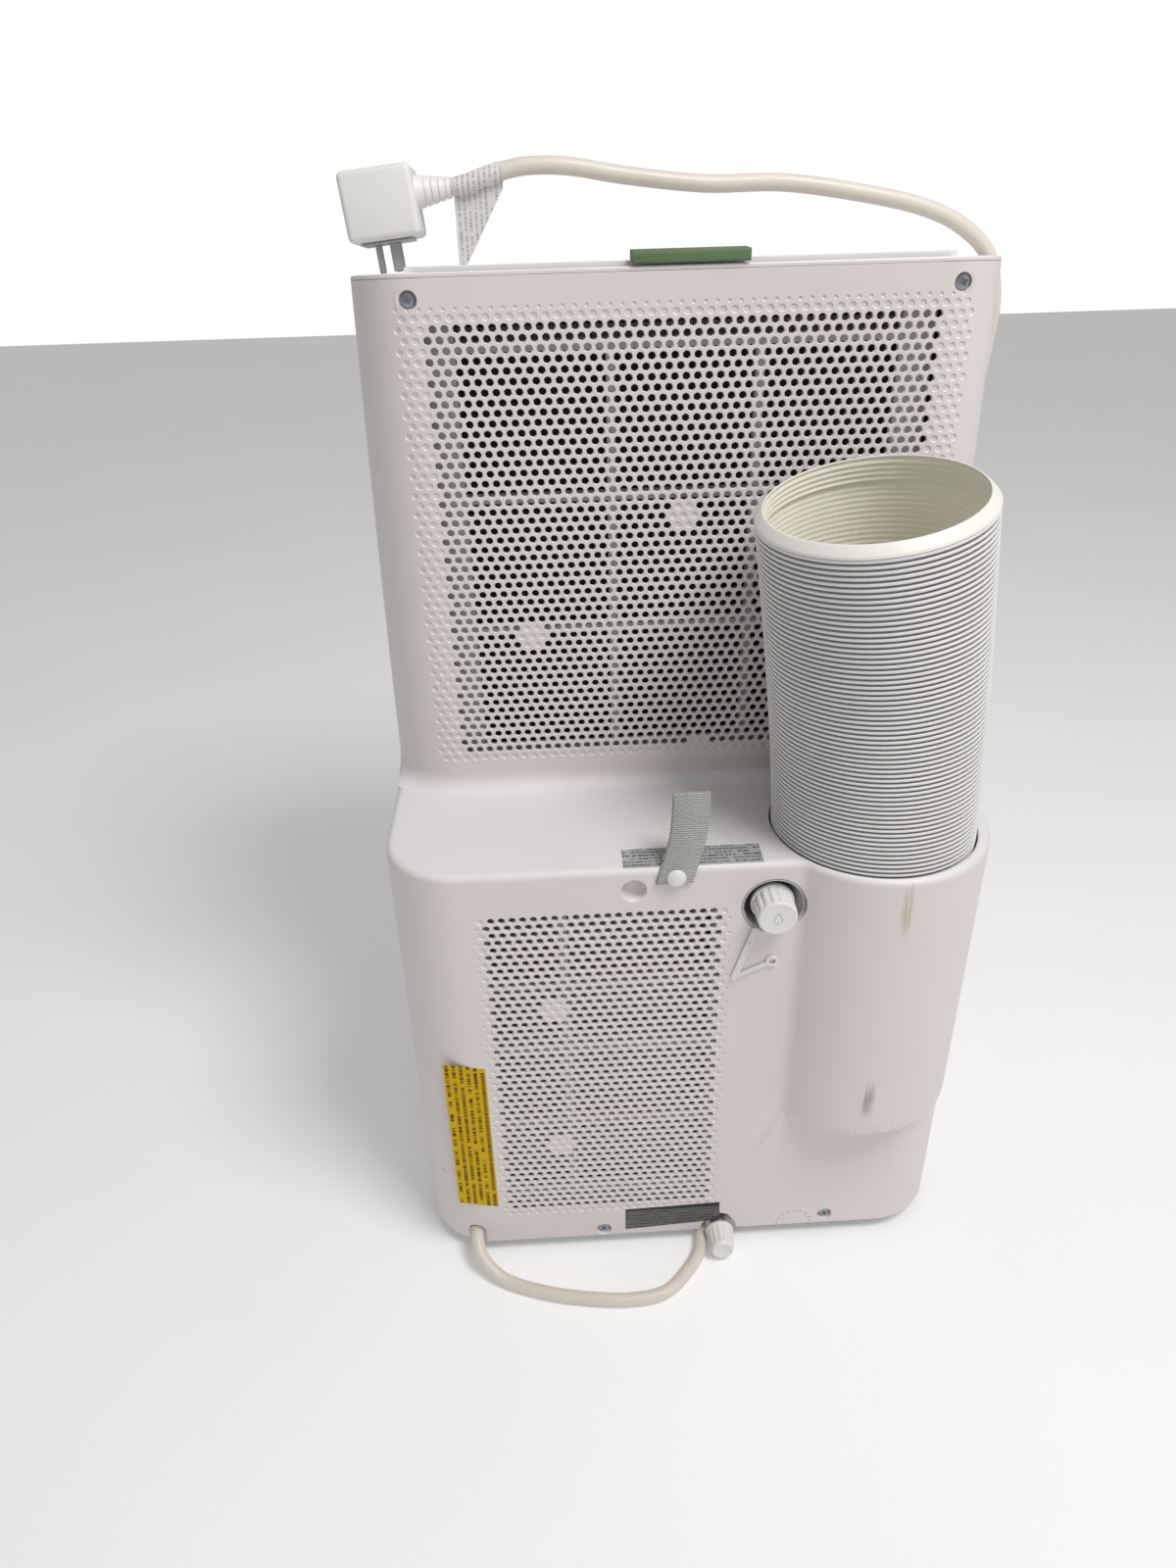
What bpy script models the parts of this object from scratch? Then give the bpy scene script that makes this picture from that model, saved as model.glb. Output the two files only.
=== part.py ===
"""Portable air conditioner on casters, with a pull-out exhaust hose, seen from its rear as +Y.

Run with: blender --background --python part.py
Metres, +Z up. The origin is on the floor, under the middle of the casing's depth and width.
The front faces -Y. Each sub-part is one object, and moving pieces have their origin on their axis.
"""

import math

import bmesh
import bpy
from mathutils import Matrix, Vector

# Driving dimensions of the casing
GAP = 0.0003
WALL = 0.003
HALF_WIDTH = 0.235
FRONT_Y = -0.227
SEAM_Y = 0.0
TOWER_REAR = 0.059
LOWER_REAR = 0.191
CASE_BOTTOM = 0.013
SHELF_Z = 0.4175
TOP_Z = 0.8075
TOP_SLOPE = math.radians(5.0)
TOP_THICK = 0.0032
SIDE_DRAFT = 0.0080
FLAT_HALF = 0.179
LOWER_CORNER = 0.060
FRONT_CORNER = 0.045
SHELF_ROUND = 0.006
SHELF_FILLET = 0.016

# Exhaust hose and its well
HOSE_X, HOSE_Y = -0.1437, 0.1375
HOSE_R, HOSE_BORE = 0.0780, 0.0700
HOSE_TOP_Z = 0.667
CUFF_HEIGHT = 0.0082
CUFF_LEAN_X, CUFF_LEAN_Y = 0.0298, 0.0162
CUFF_TILT_X, CUFF_TILT_Y = math.radians(-5.7), math.radians(8.7)
WELL_R = 0.0790
BULGE_X, BULGE_Y, BULGE_R = -0.1467, 0.1365, 0.0857
BULGE_BOTTOM = 0.157
BULGE_ROUND = 0.009

# Intake grilles, as (x low, x high, z low, z high)
UPPER_WINDOW = (-0.1775, 0.1775, 0.4495, 0.7775)
LOWER_WINDOW = (-0.0210, 0.1630, 0.0530, 0.3820)

# Base and casters
PAN_BOTTOM, PAN_TOP = 0.015, 0.020
CASTER_SPOTS = ((0.175, -0.160), (-0.175, -0.160), (0.172, 0.118), (-0.172, 0.118))
WHEEL_R, WHEEL_WIDTH, CASTER_TRAIL = 0.018, 0.018, 0.009

# Power cord: its route, from the gland to the plug, is one smooth curve through these points
CORD_D = 0.0115
CORD_Z = CORD_D / 2 + 0.0002
CORD_EXIT = (0.191, 0.1886, 0.0262)
CORD_ROUTE = (
    CORD_EXIT, (0.191, 0.1960, 0.0262), (0.1865, 0.2100, 0.0190), (0.1670, 0.2250, CORD_Z + 0.0010),
    (0.1320, 0.2390, CORD_Z), (0.0940, 0.2475, CORD_Z), (0.0560, 0.2510, CORD_Z),
    (0.0255, 0.2460, CORD_Z), (0.0045, 0.2280, CORD_Z), (-0.0095, 0.2080, CORD_Z),
    (-0.0145, 0.1850, CORD_Z), (-0.0165, 0.1500, CORD_Z), (-0.0310, 0.1100, CORD_Z),
    (-0.0620, 0.0680, CORD_Z), (-0.1030, 0.0280, CORD_Z), (-0.1560, -0.0050, CORD_Z),
    (-0.2130, -0.0260, CORD_Z), (-0.2530, -0.0350, 0.0090), (-0.2830, -0.0410, 0.0260),
    (-0.2960, -0.0450, 0.0600), (-0.2900, -0.0470, 0.1100), (-0.2700, -0.0490, 0.1900),
    (-0.2500, -0.0500, 0.2900), (-0.2424, -0.0500, 0.3900), (-0.2424, -0.0490, 0.4900),
    (-0.2440, -0.0435, 0.6500), (-0.2480, -0.0380, 0.7350),
    (-0.2475, -0.0345, 0.7710), (-0.2371, -0.0318, 0.8023), (-0.2130, -0.0301, 0.8223),
    (-0.1819, -0.0286, 0.8350), (-0.1374, -0.0269, 0.8445), (-0.0798, -0.0244, 0.8525),
    (-0.0234, -0.0214, 0.8533), (0.0322, -0.0180, 0.8595), (0.0730, -0.0145, 0.8660),
    (0.1030, -0.0125, 0.8668), (0.1255, -0.0112, 0.8626), (0.1426, -0.0105, 0.8574),
    (0.1545, -0.0105, 0.8553),
)
CORD_SPACING = 0.0290

FRONT, REAR, DOWN, UP = -Vector((0, 1, 0)), Vector((0, 1, 0)), -Vector((0, 0, 1)), Vector((0, 0, 1))


# ---------------------------------------------------------------- scene and materials

def clear_scene():
    for old in list(bpy.data.objects):
        bpy.data.objects.remove(old, do_unlink=True)


def material(name, colour, roughness, metallic=0.0):
    made = bpy.data.materials.new(name)
    made.use_nodes = True
    shader = made.node_tree.nodes["Principled BSDF"]
    shader.inputs["Base Color"].default_value = (*colour, 1.0)
    shader.inputs["Roughness"].default_value = roughness
    shader.inputs["Metallic"].default_value = metallic
    return made


# ---------------------------------------------------------------- mesh helpers

def mesh_object(name, bm, finish, parent=None):
    """A named object from a closed bmesh. Its faces are turned outwards and shaded by angle."""
    bmesh.ops.recalc_face_normals(bm, faces=bm.faces)
    mesh = bpy.data.meshes.new(name)
    bm.to_mesh(mesh)
    bm.free()
    mesh.shade_smooth()
    mesh.set_sharp_from_angle(angle=math.radians(35))
    mesh.materials.append(finish)
    made = bpy.data.objects.new(name, mesh)
    bpy.context.scene.collection.objects.link(made)
    made.parent = parent
    return made


def frame_empty(name, location, rotation=(0, 0, 0)):
    made = bpy.data.objects.new(name, None)
    made.location = location
    made.rotation_euler = rotation
    bpy.context.scene.collection.objects.link(made)
    return made


def set_origin(thing, point):
    """Moves the object's origin to a point, in its parent's frame, and leaves its shape in place."""
    thing.data.transform(Matrix.Translation(-Vector(point)))
    thing.location = point
    return thing


def loft(loops):
    """A closed solid through loops of points with equal counts, capped at both ends."""
    bm = bmesh.new()
    rings = [[bm.verts.new(point) for point in loop] for loop in loops]
    count = len(rings[0])
    for low, high in zip(rings, rings[1:]):
        for i in range(count):
            bm.faces.new((low[i], low[(i + 1) % count], high[(i + 1) % count], high[i]))
    bm.faces.new(rings[0][::-1])
    bm.faces.new(rings[-1])
    return bm


def box(x0, x1, y0, y1, z0, z1):
    loops = [[(x0, y0, z), (x1, y0, z), (x1, y1, z), (x0, y1, z)] for z in (z0, z1)]
    return loft(loops)


def ring_basis(axis):
    axis = Vector(axis).normalized()
    side = axis.orthogonal().normalized()
    return axis, side, axis.cross(side)


def rod(start, end, r_start, r_end=None, sides=24):
    """A round bar or cone between two points."""
    r_end = r_start if r_end is None else r_end
    start, end = Vector(start), Vector(end)
    _, side, up = ring_basis(end - start)
    loops = []
    for centre, radius in ((start, r_start), (end, r_end)):
        turn = [math.tau * i / sides for i in range(sides)]
        loops.append([centre + radius * (math.cos(a) * side + math.sin(a) * up) for a in turn])
    return loft(loops)


def turned(profile, centre, axis, sides=32):
    """A solid of revolution. profile holds (radius, height) points: closed round the axis when none
    of them lies on it, and otherwise running from the axis to the axis."""
    axis, side, up = ring_basis(axis)
    centre = Vector(centre)
    bm = bmesh.new()
    rings = []
    for radius, height in profile:
        middle = centre + height * axis
        if radius == 0:
            rings.append([bm.verts.new(middle)])
            continue
        turn = [math.tau * i / sides for i in range(sides)]
        rings.append([bm.verts.new(middle + radius * (math.cos(a) * side + math.sin(a) * up)) for a in turn])
    hollow = all(radius > 0 for radius, _ in profile)
    pairs = list(zip(rings, rings[1:])) + ([(rings[-1], rings[0])] if hollow else [])
    for low, high in pairs:
        for i in range(sides):
            j = (i + 1) % sides
            corners = [low[i % len(low)], low[j % len(low)], high[j % len(high)], high[i % len(high)]]
            bm.faces.new(list(dict.fromkeys(corners)))
    return bm


def prism(outline, low, high, axis="Y"):
    """A flat outline pushed along an axis. Its two coordinates are the other axes, in X, Y, Z order."""
    place = {
        "X": lambda u, v, w: (w, u, v),
        "Y": lambda u, v, w: (u, w, v),
        "Z": lambda u, v, w: (u, v, w),
    }[axis]
    return loft([[place(u, v, w) for u, v in outline] for w in (low, high)])


def combine(target, bm, operation):
    """Joins a shape to the object, or cuts it away, and keeps the result as the object's own mesh."""
    tool = mesh_object("tool", bm, target.data.materials[0])
    step = target.modifiers.new("step", "BOOLEAN")
    step.operation = operation
    step.object = tool
    step.solver = "EXACT"
    bpy.context.view_layer.update()
    graph = bpy.context.evaluated_depsgraph_get()
    made = bpy.data.meshes.new_from_object(target.evaluated_get(graph))
    target.modifiers.remove(step)
    old = target.data
    target.data = made
    bpy.data.meshes.remove(old)
    bpy.data.objects.remove(tool, do_unlink=True)
    made.shade_smooth()
    made.set_sharp_from_angle(angle=math.radians(35))
    return target


def join(target, bm):
    return combine(target, bm, "UNION")


def cut(target, bm):
    return combine(target, bm, "DIFFERENCE")


# ---------------------------------------------------------------- outlines of the casing, seen from above

def half_width(z):
    """Half the casing's width at a height: the tower's sides lean in a little towards the top."""
    return HALF_WIDTH - SIDE_DRAFT * max(0.0, (z - SHELF_Z) / (TOP_Z - SHELF_Z)) ** 1.5


def top_plane(y):
    """Height of the sloping top surface."""
    return TOP_Z + (y - TOWER_REAR) * math.tan(TOP_SLOPE)


def arc(cx, cy, radius, start, end, steps):
    turn = [math.radians(start + (end - start) * i / steps) for i in range(steps + 1)]
    return [(cx + radius * math.cos(a), cy + radius * math.sin(a)) for a in turn]


def rear_outline(arcs, half, inset, open_y):
    """Points from +X round the rear to -X. A negative radius is a concave arc, which an inset widens."""
    points = [(half - inset, open_y)]
    for cx, cy, radius, start, end, steps in arcs:
        size = radius - inset if radius > 0 else -radius + inset
        points += arc(cx, cy, size, start, end, steps)
    return points + [(-half + inset, open_y)]


def tower_outline(z, inset=0.0, open_y=SEAM_Y, limit=None):
    half = half_width(z)
    radius = half - FLAT_HALF
    arcs = (
        (FLAT_HALF, TOWER_REAR - radius, radius, 0, 90, 6),
        (-FLAT_HALF, TOWER_REAR - radius, radius, 90, 180, 6),
    )
    points = rear_outline(arcs, half, inset, open_y)
    if limit:
        points = [(max(-limit, min(limit, x)), y) for x, y in points]
    return points


def lower_outline(inset=0.0, open_y=SEAM_Y):
    middle = HALF_WIDTH - LOWER_CORNER
    arcs = (
        (middle, LOWER_REAR - LOWER_CORNER, LOWER_CORNER, 0, 90, 6),
        (-middle, LOWER_REAR - LOWER_CORNER, LOWER_CORNER, 90, 180, 6),
    )
    return rear_outline(arcs, HALF_WIDTH, inset, open_y)


def bulge_outline(inset=0.0, open_y=SEAM_Y):
    """The lower outline with the half-round bulge that houses the hose well, blended at both sides."""
    middle = HALF_WIDTH - LOWER_CORNER
    blend = 0.012
    rise = LOWER_REAR + blend - BULGE_Y
    reach = BULGE_R + blend
    blend_x = BULGE_X + math.sqrt(reach**2 - rise**2)
    meet = math.degrees(math.atan2(rise, blend_x - BULGE_X))
    side_r = 0.110
    side_x = side_r - HALF_WIDTH
    offset = side_r - BULGE_R
    side_y = BULGE_Y - math.sqrt(offset**2 - (side_x - BULGE_X) ** 2)
    leave = math.degrees(math.atan2(BULGE_Y - side_y, BULGE_X - side_x))
    arcs = (
        (middle, LOWER_REAR - LOWER_CORNER, LOWER_CORNER, 0, 90, 6),
        (blend_x, LOWER_REAR + blend, -blend, -90, meet - 180, 3),
        (BULGE_X, BULGE_Y, BULGE_R, meet, leave, 12),
        (side_x, side_y, side_r, leave, 180, 4),
    )
    return rear_outline(arcs, HALF_WIDTH, inset, open_y)


def front_outline(z, inset=0.0, open_y=SEAM_Y):
    half = half_width(z)
    corner = FRONT_CORNER
    points = [(-half + inset, open_y)]
    points += arc(-half + corner, FRONT_Y + corner, corner - inset, 180, 270, 5)
    points += arc(half - corner, FRONT_Y + corner, corner - inset, 270, 360, 5)
    return points + [(half - inset, open_y)]


def level(outline, z):
    return [(x, y, z) for x, y in outline]


def on_slope(outline, below):
    """The outline laid on a plane parallel to the top surface, a distance below it."""
    return [(x, y, top_plane(y) - below) for x, y in outline]


def rounding(radius, steps):
    """(inset, drop) pairs over a quarter round, from the side wall up to the flat face."""
    turn = [math.pi / 2 * i / steps for i in range(steps + 1)]
    return [(radius * (1 - math.cos(a)), radius * (1 - math.sin(a))) for a in turn]


# ---------------------------------------------------------------- casing

def tower_block(inset, low, open_y):
    heights = [low] + [z for z in (0.56, 0.68) if z > low]
    loops = [level(tower_outline(z, inset, open_y), z) for z in heights]
    return loft(loops + [on_slope(tower_outline(0.80, inset, open_y), TOP_THICK)])


def fillet_block():
    """The concave sweep where the tower meets the shelf, kept within the casing's sides."""
    loops = [level(tower_outline(SHELF_Z, -SHELF_FILLET, limit=HALF_WIDTH - 0.0004), SHELF_Z - 0.002)]
    for step in range(5):
        turn = math.pi / 2 * step / 4
        out = SHELF_FILLET * (1 - math.sin(turn)) - 0.0003
        z = SHELF_Z + SHELF_FILLET * (1 - math.cos(turn))
        loops.append(level(tower_outline(z, -out, limit=HALF_WIDTH - 0.0004), z))
    loops.append(level(tower_outline(SHELF_Z + 0.020, 0.001, limit=HALF_WIDTH - 0.0004), SHELF_Z + 0.020))
    return loft(loops)


def tower_surface(x, z):
    """Where the tower's rear wall is at a place across it, flat or on a rounded corner."""
    radius = half_width(z) - FLAT_HALF
    reach = max(0.0, abs(x) - FLAT_HALF)
    return TOWER_REAR - radius + math.sqrt(radius**2 - reach**2)


def boss(target, x, z, surface_y, depth):
    """A screw boss behind the rear wall, with a round counterbore and a through hole."""
    join(target, rod((x, surface_y - 0.012, z), (x, surface_y - 0.0012, z), 0.0085, sides=20))
    cut(target, rod((x, surface_y - depth, z), (x, surface_y + 0.01, z), 0.0060, sides=20))
    cut(target, rod((x, surface_y - 0.02, z), (x, surface_y + 0.01, z), 0.0021, sides=12))


def window(target, edges, y_low, y_high):
    x0, x1, z0, z1 = edges
    cut(target, box(x0, x1, y_low, y_high, z0, z1))


def make_rear_cover(finish):
    low = [level(lower_outline(0.002), CASE_BOTTOM), level(lower_outline(), CASE_BOTTOM + 0.002)]
    top = [level(lower_outline(i), SHELF_Z - drop) for i, drop in rounding(SHELF_ROUND, 3)]
    cover = mesh_object("rear_cover", loft(low + top), finish)
    under = [
        level(bulge_outline(i), BULGE_BOTTOM + drop)
        for i, drop in reversed(rounding(BULGE_ROUND, 3))
    ]
    over = [level(bulge_outline(i), SHELF_Z - drop) for i, drop in rounding(SHELF_ROUND, 3)]
    join(cover, loft(under + over))
    join(cover, fillet_block())
    join(cover, tower_block(0.0, SHELF_Z - 0.001, SEAM_Y))
    # Hollow it: the lower box, the tower, and the round space for the hose well
    open_y = SEAM_Y - 0.01
    inner = [level(lower_outline(WALL, open_y), z) for z in (CASE_BOTTOM - 0.01, SHELF_Z - WALL)]
    cut(cover, loft(inner))
    loops = [level(tower_outline(z, WALL, open_y), z) for z in (0.30, SHELF_Z, 0.56, 0.68)]
    cut(cover, loft(loops + [on_slope(tower_outline(0.80, WALL, open_y), -0.01)]))
    cut(cover, rod((HOSE_X, HOSE_Y, BULGE_BOTTOM + 0.003), (HOSE_X, HOSE_Y, SHELF_Z - WALL),
                   WELL_R + 0.0022, sides=40))
    cut(cover, rod((HOSE_X, HOSE_Y, SHELF_Z - 0.01), (HOSE_X, HOSE_Y, SHELF_Z + 0.03), WELL_R, sides=40))
    window(cover, UPPER_WINDOW, TOWER_REAR - 0.01, TOWER_REAR + 0.01)
    window(cover, LOWER_WINDOW, LOWER_REAR - 0.01, LOWER_REAR + 0.01)
    for x, z in UPPER_SCREWS:
        boss(cover, x, z, tower_surface(x, z), UPPER_SEAT)
    for x, z in LOWER_SCREWS:
        boss(cover, x, z, LOWER_REAR, LOWER_SEAT)
    # Round finger recess, a blind cup behind the wall
    x, z = 0.047, 0.399
    join(cover, rod((x, LOWER_REAR - 0.012, z), (x, LOWER_REAR - 0.001, z), 0.0120))
    cut(cover, rod((x, LOWER_REAR - 0.010, z), (x, LOWER_REAR + 0.01, z), 0.0095))
    x, z = UPPER_DRAIN
    cut(cover, rod((x, LOWER_REAR - 0.01, z), (x, LOWER_REAR + 0.01, z), 0.0243, sides=40))
    x, z = STRAP_RIVET
    cut(cover, rod((x, LOWER_REAR - 0.01, z), (x, LOWER_REAR + 0.01, z), 0.0025, sides=12))
    # Notches in the lower edge for the cord and the lower drain
    x = CORD_EXIT[0]
    arch = [(x - 0.008, 0.0), (x + 0.008, 0.0)] + arc(x, 0.0275, 0.008, 0, 180, 8)
    cut(cover, prism(arch, 0.150, 0.21))
    arch = [(-0.0495, 0.0), (-0.0085, 0.0), (-0.0140, 0.0215)] + arc(-0.0295, 0.0225, 0.0130, 40, 140, 6)
    cut(cover, prism(arch + [(-0.0450, 0.0215)], 0.170, 0.21))
    return cover


def make_front_cover(finish):
    seam = SEAM_Y - GAP
    loops = [level(front_outline(CASE_BOTTOM, 0.002, seam), CASE_BOTTOM)]
    heights = (CASE_BOTTOM + 0.002, SHELF_Z, 0.56, 0.68)
    loops += [level(front_outline(z, 0.0, seam), z) for z in heights]
    cover = mesh_object("front_cover", loft(loops + [on_slope(front_outline(0.80, 0.0, seam), TOP_THICK)]),
                        finish)
    loops = [level(front_outline(z, WALL, 0.01), z) for z in (0.0, SHELF_Z, 0.56, 0.68)]
    cut(cover, loft(loops + [on_slope(front_outline(0.80, WALL, 0.01), -0.01)]))
    for side in (-1, 1):
        x0, x1 = sorted((side * 0.21, side * 0.25))
        cut(cover, box(x0, x1, -0.1650, -0.0750, 0.6000, 0.6400))
    # Shallow pressed line that frames the front
    for z in (0.0600, 0.6900):
        cut(cover, box(-0.170, 0.170, FRONT_Y - 0.01, FRONT_Y + 0.0012, z, z + 0.0025))
    return cover


def make_top_cover(finish):
    """The sloping lid, with the filter slot, the air outlet and the opening for the controls."""
    lid = TOP_THICK - GAP

    def ring(inset, below):
        plan = tower_outline(0.80, inset, SEAM_Y)[1:-1] + front_outline(0.80, inset, SEAM_Y)[1:-1]
        return on_slope(plan, below)

    loops = [ring(0.0, lid), ring(0.0, 0.0022), ring(0.0007, 0.0007), ring(0.0022, 0.0)]
    cover = mesh_object("top_cover", loft(loops), finish)
    cut(cover, box(-0.1815, 0.1815, 0.0325, 0.0495, 0.75, 0.85))
    for x0, x1, y0, y1 in (OUTLET_WINDOW, PANEL_WINDOW):
        bm = box(x0, x1, y0, y1, -0.03, 0.03)
        bmesh.ops.transform(bm, matrix=TOP_FRAME, verts=bm.verts)
        cut(cover, bm)
    return cover


def grille_plate(name, edges, y_rear, slots, columns, finish):
    """A flat intake grille: rows of slots between stiffening bars."""
    x0, x1, z0, z1 = (edges[0] + GAP, edges[1] - GAP, edges[2] + GAP, edges[3] - GAP)
    plate = mesh_object(name, box(x0, x1, y_rear - WALL, y_rear, z0, z1), finish)
    rim = 0.008
    wide = (x1 - x0 - rim * (columns + 1)) / columns
    tall = (z1 - z0 - rim * (slots + 1)) / slots
    for column in range(columns):
        left = x0 + rim + column * (wide + rim)
        for row in range(slots):
            bottom = z0 + rim + row * (tall + rim)
            cut(plate, box(left, left + wide, y_rear - 0.01, y_rear + 0.01, bottom, bottom + tall))
    return plate


def make_grip_cup(name, side, finish):
    half = half_width(0.62)
    x0, x1 = sorted((side * (half - 0.0315), side * (half - GAP)))
    cup = mesh_object(name, box(x0, x1, -0.1647, -0.0753, 0.6003, 0.6397), finish)
    x0, x1 = sorted((side * (half - 0.0290), side * (half + 0.01)))
    return cut(cup, box(x0, x1, -0.1622, -0.0778, 0.6028, 0.6372))


def make_screw(name, x, z, surface_y, depth, finish):
    seat = surface_y - depth + GAP
    profile = ((0, -0.012), (0.0017, -0.012), (0.0017, 0.0), (0.0048, 0.0), (0.0048, 0.0012),
               (0.0036, 0.0024), (0, 0.0026))
    return mesh_object(name, turned(profile, (x, seat, z), REAR, 12), finish)


# ---------------------------------------------------------------- base, casters

def make_base_pan(finish):
    inset = WALL + GAP
    plan = lower_outline(inset)[1:-1] + front_outline(0.1, inset)[1:-1]
    pan = mesh_object("base_pan", loft([level(plan, PAN_BOTTOM), level(plan, PAN_TOP)]), finish)
    for x, y in CASTER_SPOTS:
        join(pan, rod((x, y, PAN_TOP - 0.002), (x, y, 0.062), 0.0330, sides=20))
        cut(pan, rod((x, y, 0.0), (x, y, 0.0570), 0.0300, sides=20))
        cut(pan, rod((x, y, 0.0), (x, y, 0.08), 0.0045, sides=10))
    # Drain spout at the rear, and room for the cord's gland
    x, z = LOWER_DRAIN
    cut(pan, box(x - 0.0205, x + 0.0205, 0.1820, 0.20, 0.0, 0.05))
    join(pan, rod((x, 0.140, z + 0.0005), (x, 0.2100, z + 0.0005), 0.0070, sides=16))
    for x, _ in LOWER_SCREWS:
        cut(pan, box(x - 0.0095, x + 0.0095, 0.1760, 0.20, 0.0, 0.05))
    cut(pan, box(CORD_EXIT[0] - 0.014, CORD_EXIT[0] + 0.014, 0.145, 0.20, 0.0, 0.05))
    return pan


def make_caster(number, x, y, fork_finish, wheel_finish):
    """A swivel fork with its stem in the base, and a wheel with its axle behind the swivel axis."""
    fork = mesh_object(f"caster_{number}_fork", rod((x, y, 0.0420), (x, y, 0.0455), 0.0150, sides=16), fork_finish)
    join(fork, rod((x, y, 0.0450), (x, y, 0.0610), 0.0040, sides=10))
    inner = WHEEL_WIDTH / 2 + 0.0008
    outer = inner + 0.0022
    back = y - CASTER_TRAIL
    for side in (-1, 1):
        x0, x1 = sorted((x + side * inner, x + side * outer))
        cheek = [(y + 0.006, 0.0425), (y - 0.014, 0.0425), (back - 0.006, 0.0180)]
        cheek += arc(back, 0.0180, 0.006, 180, 360, 4)[1:]
        join(fork, prism(cheek, x0, x1, "X"))
    cut(fork, rod((x - 0.03, back, WHEEL_R), (x + 0.03, back, WHEEL_R), 0.0029, sides=10))
    set_origin(fork, (x, y, 0.0))
    half = WHEEL_WIDTH / 2
    profile = ((0, -outer), (0.0025, -outer), (0.0025, -half), (0.0165, -half), (WHEEL_R, -half + 0.0020),
               (WHEEL_R, half - 0.0020), (0.0165, half), (0.0025, half), (0.0025, outer), (0, outer))
    wheel = mesh_object(f"caster_{number}_wheel", turned(profile, (x, back, WHEEL_R), (1, 0, 0), 16),
                        wheel_finish)
    set_origin(wheel, (x, back, WHEEL_R))


# ---------------------------------------------------------------- top: outlet, louver and controls

TOP_FRAME = Matrix.Translation((0, TOWER_REAR, TOP_Z)) @ Matrix.Rotation(TOP_SLOPE, 4, "X")
OUTLET_WINDOW = (-0.1650, 0.1650, -0.2620, -0.1820)
PANEL_WINDOW = (-0.1300, 0.1300, -0.1600, -0.0950)
LOUVER_AXIS = (0.0, -0.1848, -0.0018)
VANE_SPOTS = (-0.085, 0.0, 0.085)
BUTTON_SPOTS = (-0.100, -0.066, 0.034, 0.067, 0.100)
BUTTON_NAMES = ("button_power", "button_mode", "button_fan_speed", "button_down", "button_up")


def make_outlet(parent, frame_finish, flap_finish, vane_finish):
    x0, x1, y0, y1 = OUTLET_WINDOW
    outer = (x0 + GAP, x1 - GAP, y0 + GAP, y1 - GAP)
    frame = mesh_object("outlet_frame", box(*outer, -0.0600, -0.0042), frame_finish, parent)
    combine_local(frame, box(x0 + 0.003, x1 - 0.003, y0 + 0.003, y1 - 0.003, -0.07, 0.0))
    combine_local(frame, box(x0 + 0.001, x1 - 0.001, -0.2235, -0.2185, -0.0600, -0.0540), "UNION")
    flap = [(y0 + 0.0030, -0.0036), (LOUVER_AXIS[1], -0.0036)]
    flap += arc(LOUVER_AXIS[1], LOUVER_AXIS[2], 0.0018, -90, 90, 6) + [(y0 + 0.0030, 0.0)]
    louver = mesh_object("louver_flap", prism(flap, x0 + 0.0015, x1 - 0.0015, "X"), flap_finish, parent)
    set_origin(louver, LOUVER_AXIS)
    for number, x in enumerate(VANE_SPOTS, 1):
        blade = [(x - 0.0012, -0.2480), (x + 0.0012, -0.2480), (x + 0.0016, -0.2210),
                 (x + 0.0010, -0.1960), (x - 0.0010, -0.1960), (x - 0.0016, -0.2210)]
        vane = mesh_object(f"outlet_vane_{number}", prism(blade, -0.0530, -0.0100, "Z"), vane_finish, parent)
        set_origin(vane, (x, -0.2210, -0.0315))


def combine_local(target, bm, operation="DIFFERENCE"):
    """As combine, with the shape given in the frame of the object's parent."""
    bpy.context.view_layer.update()
    bmesh.ops.transform(bm, matrix=target.matrix_world, verts=bm.verts)
    return combine(target, bm, operation)


def make_controls(parent, panel_finish, display_finish, button_finish):
    x0, x1, y0, y1 = PANEL_WINDOW
    plan = [(x0 + GAP, y0 + GAP), (x1 - GAP, y0 + GAP), (x1 - GAP, y1 - GAP), (x0 + GAP, y1 - GAP)]
    panel = mesh_object("control_panel", prism(plan, -0.0110, 0.0, "Z"), panel_finish, parent)
    middle = (y0 + y1) / 2
    for x in BUTTON_SPOTS:
        combine_local(panel, rod((x, middle, -0.0070), (x, middle, 0.01), 0.0096, sides=14))
    combine_local(panel, box(-0.0490, 0.0170, y0 + 0.0140, y1 - 0.0140, -0.0020, 0.01))
    mesh_object("display_window", box(-0.0487, 0.0167, y0 + 0.0143, y1 - 0.0143, -0.0017, 0.0), display_finish,
                parent)
    profile = ((0, -0.0050), (0.0090, -0.0050), (0.0090, 0.0004), (0.0082, 0.0012), (0, 0.0006))
    for name, x in zip(BUTTON_NAMES, BUTTON_SPOTS):
        button = mesh_object(name, turned(profile, (x, middle, 0.0), UP, 14), button_finish, parent)
        set_origin(button, (x, middle, 0.0))


# ---------------------------------------------------------------- filters

FILTER_Y = (0.0360, 0.0460)


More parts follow.
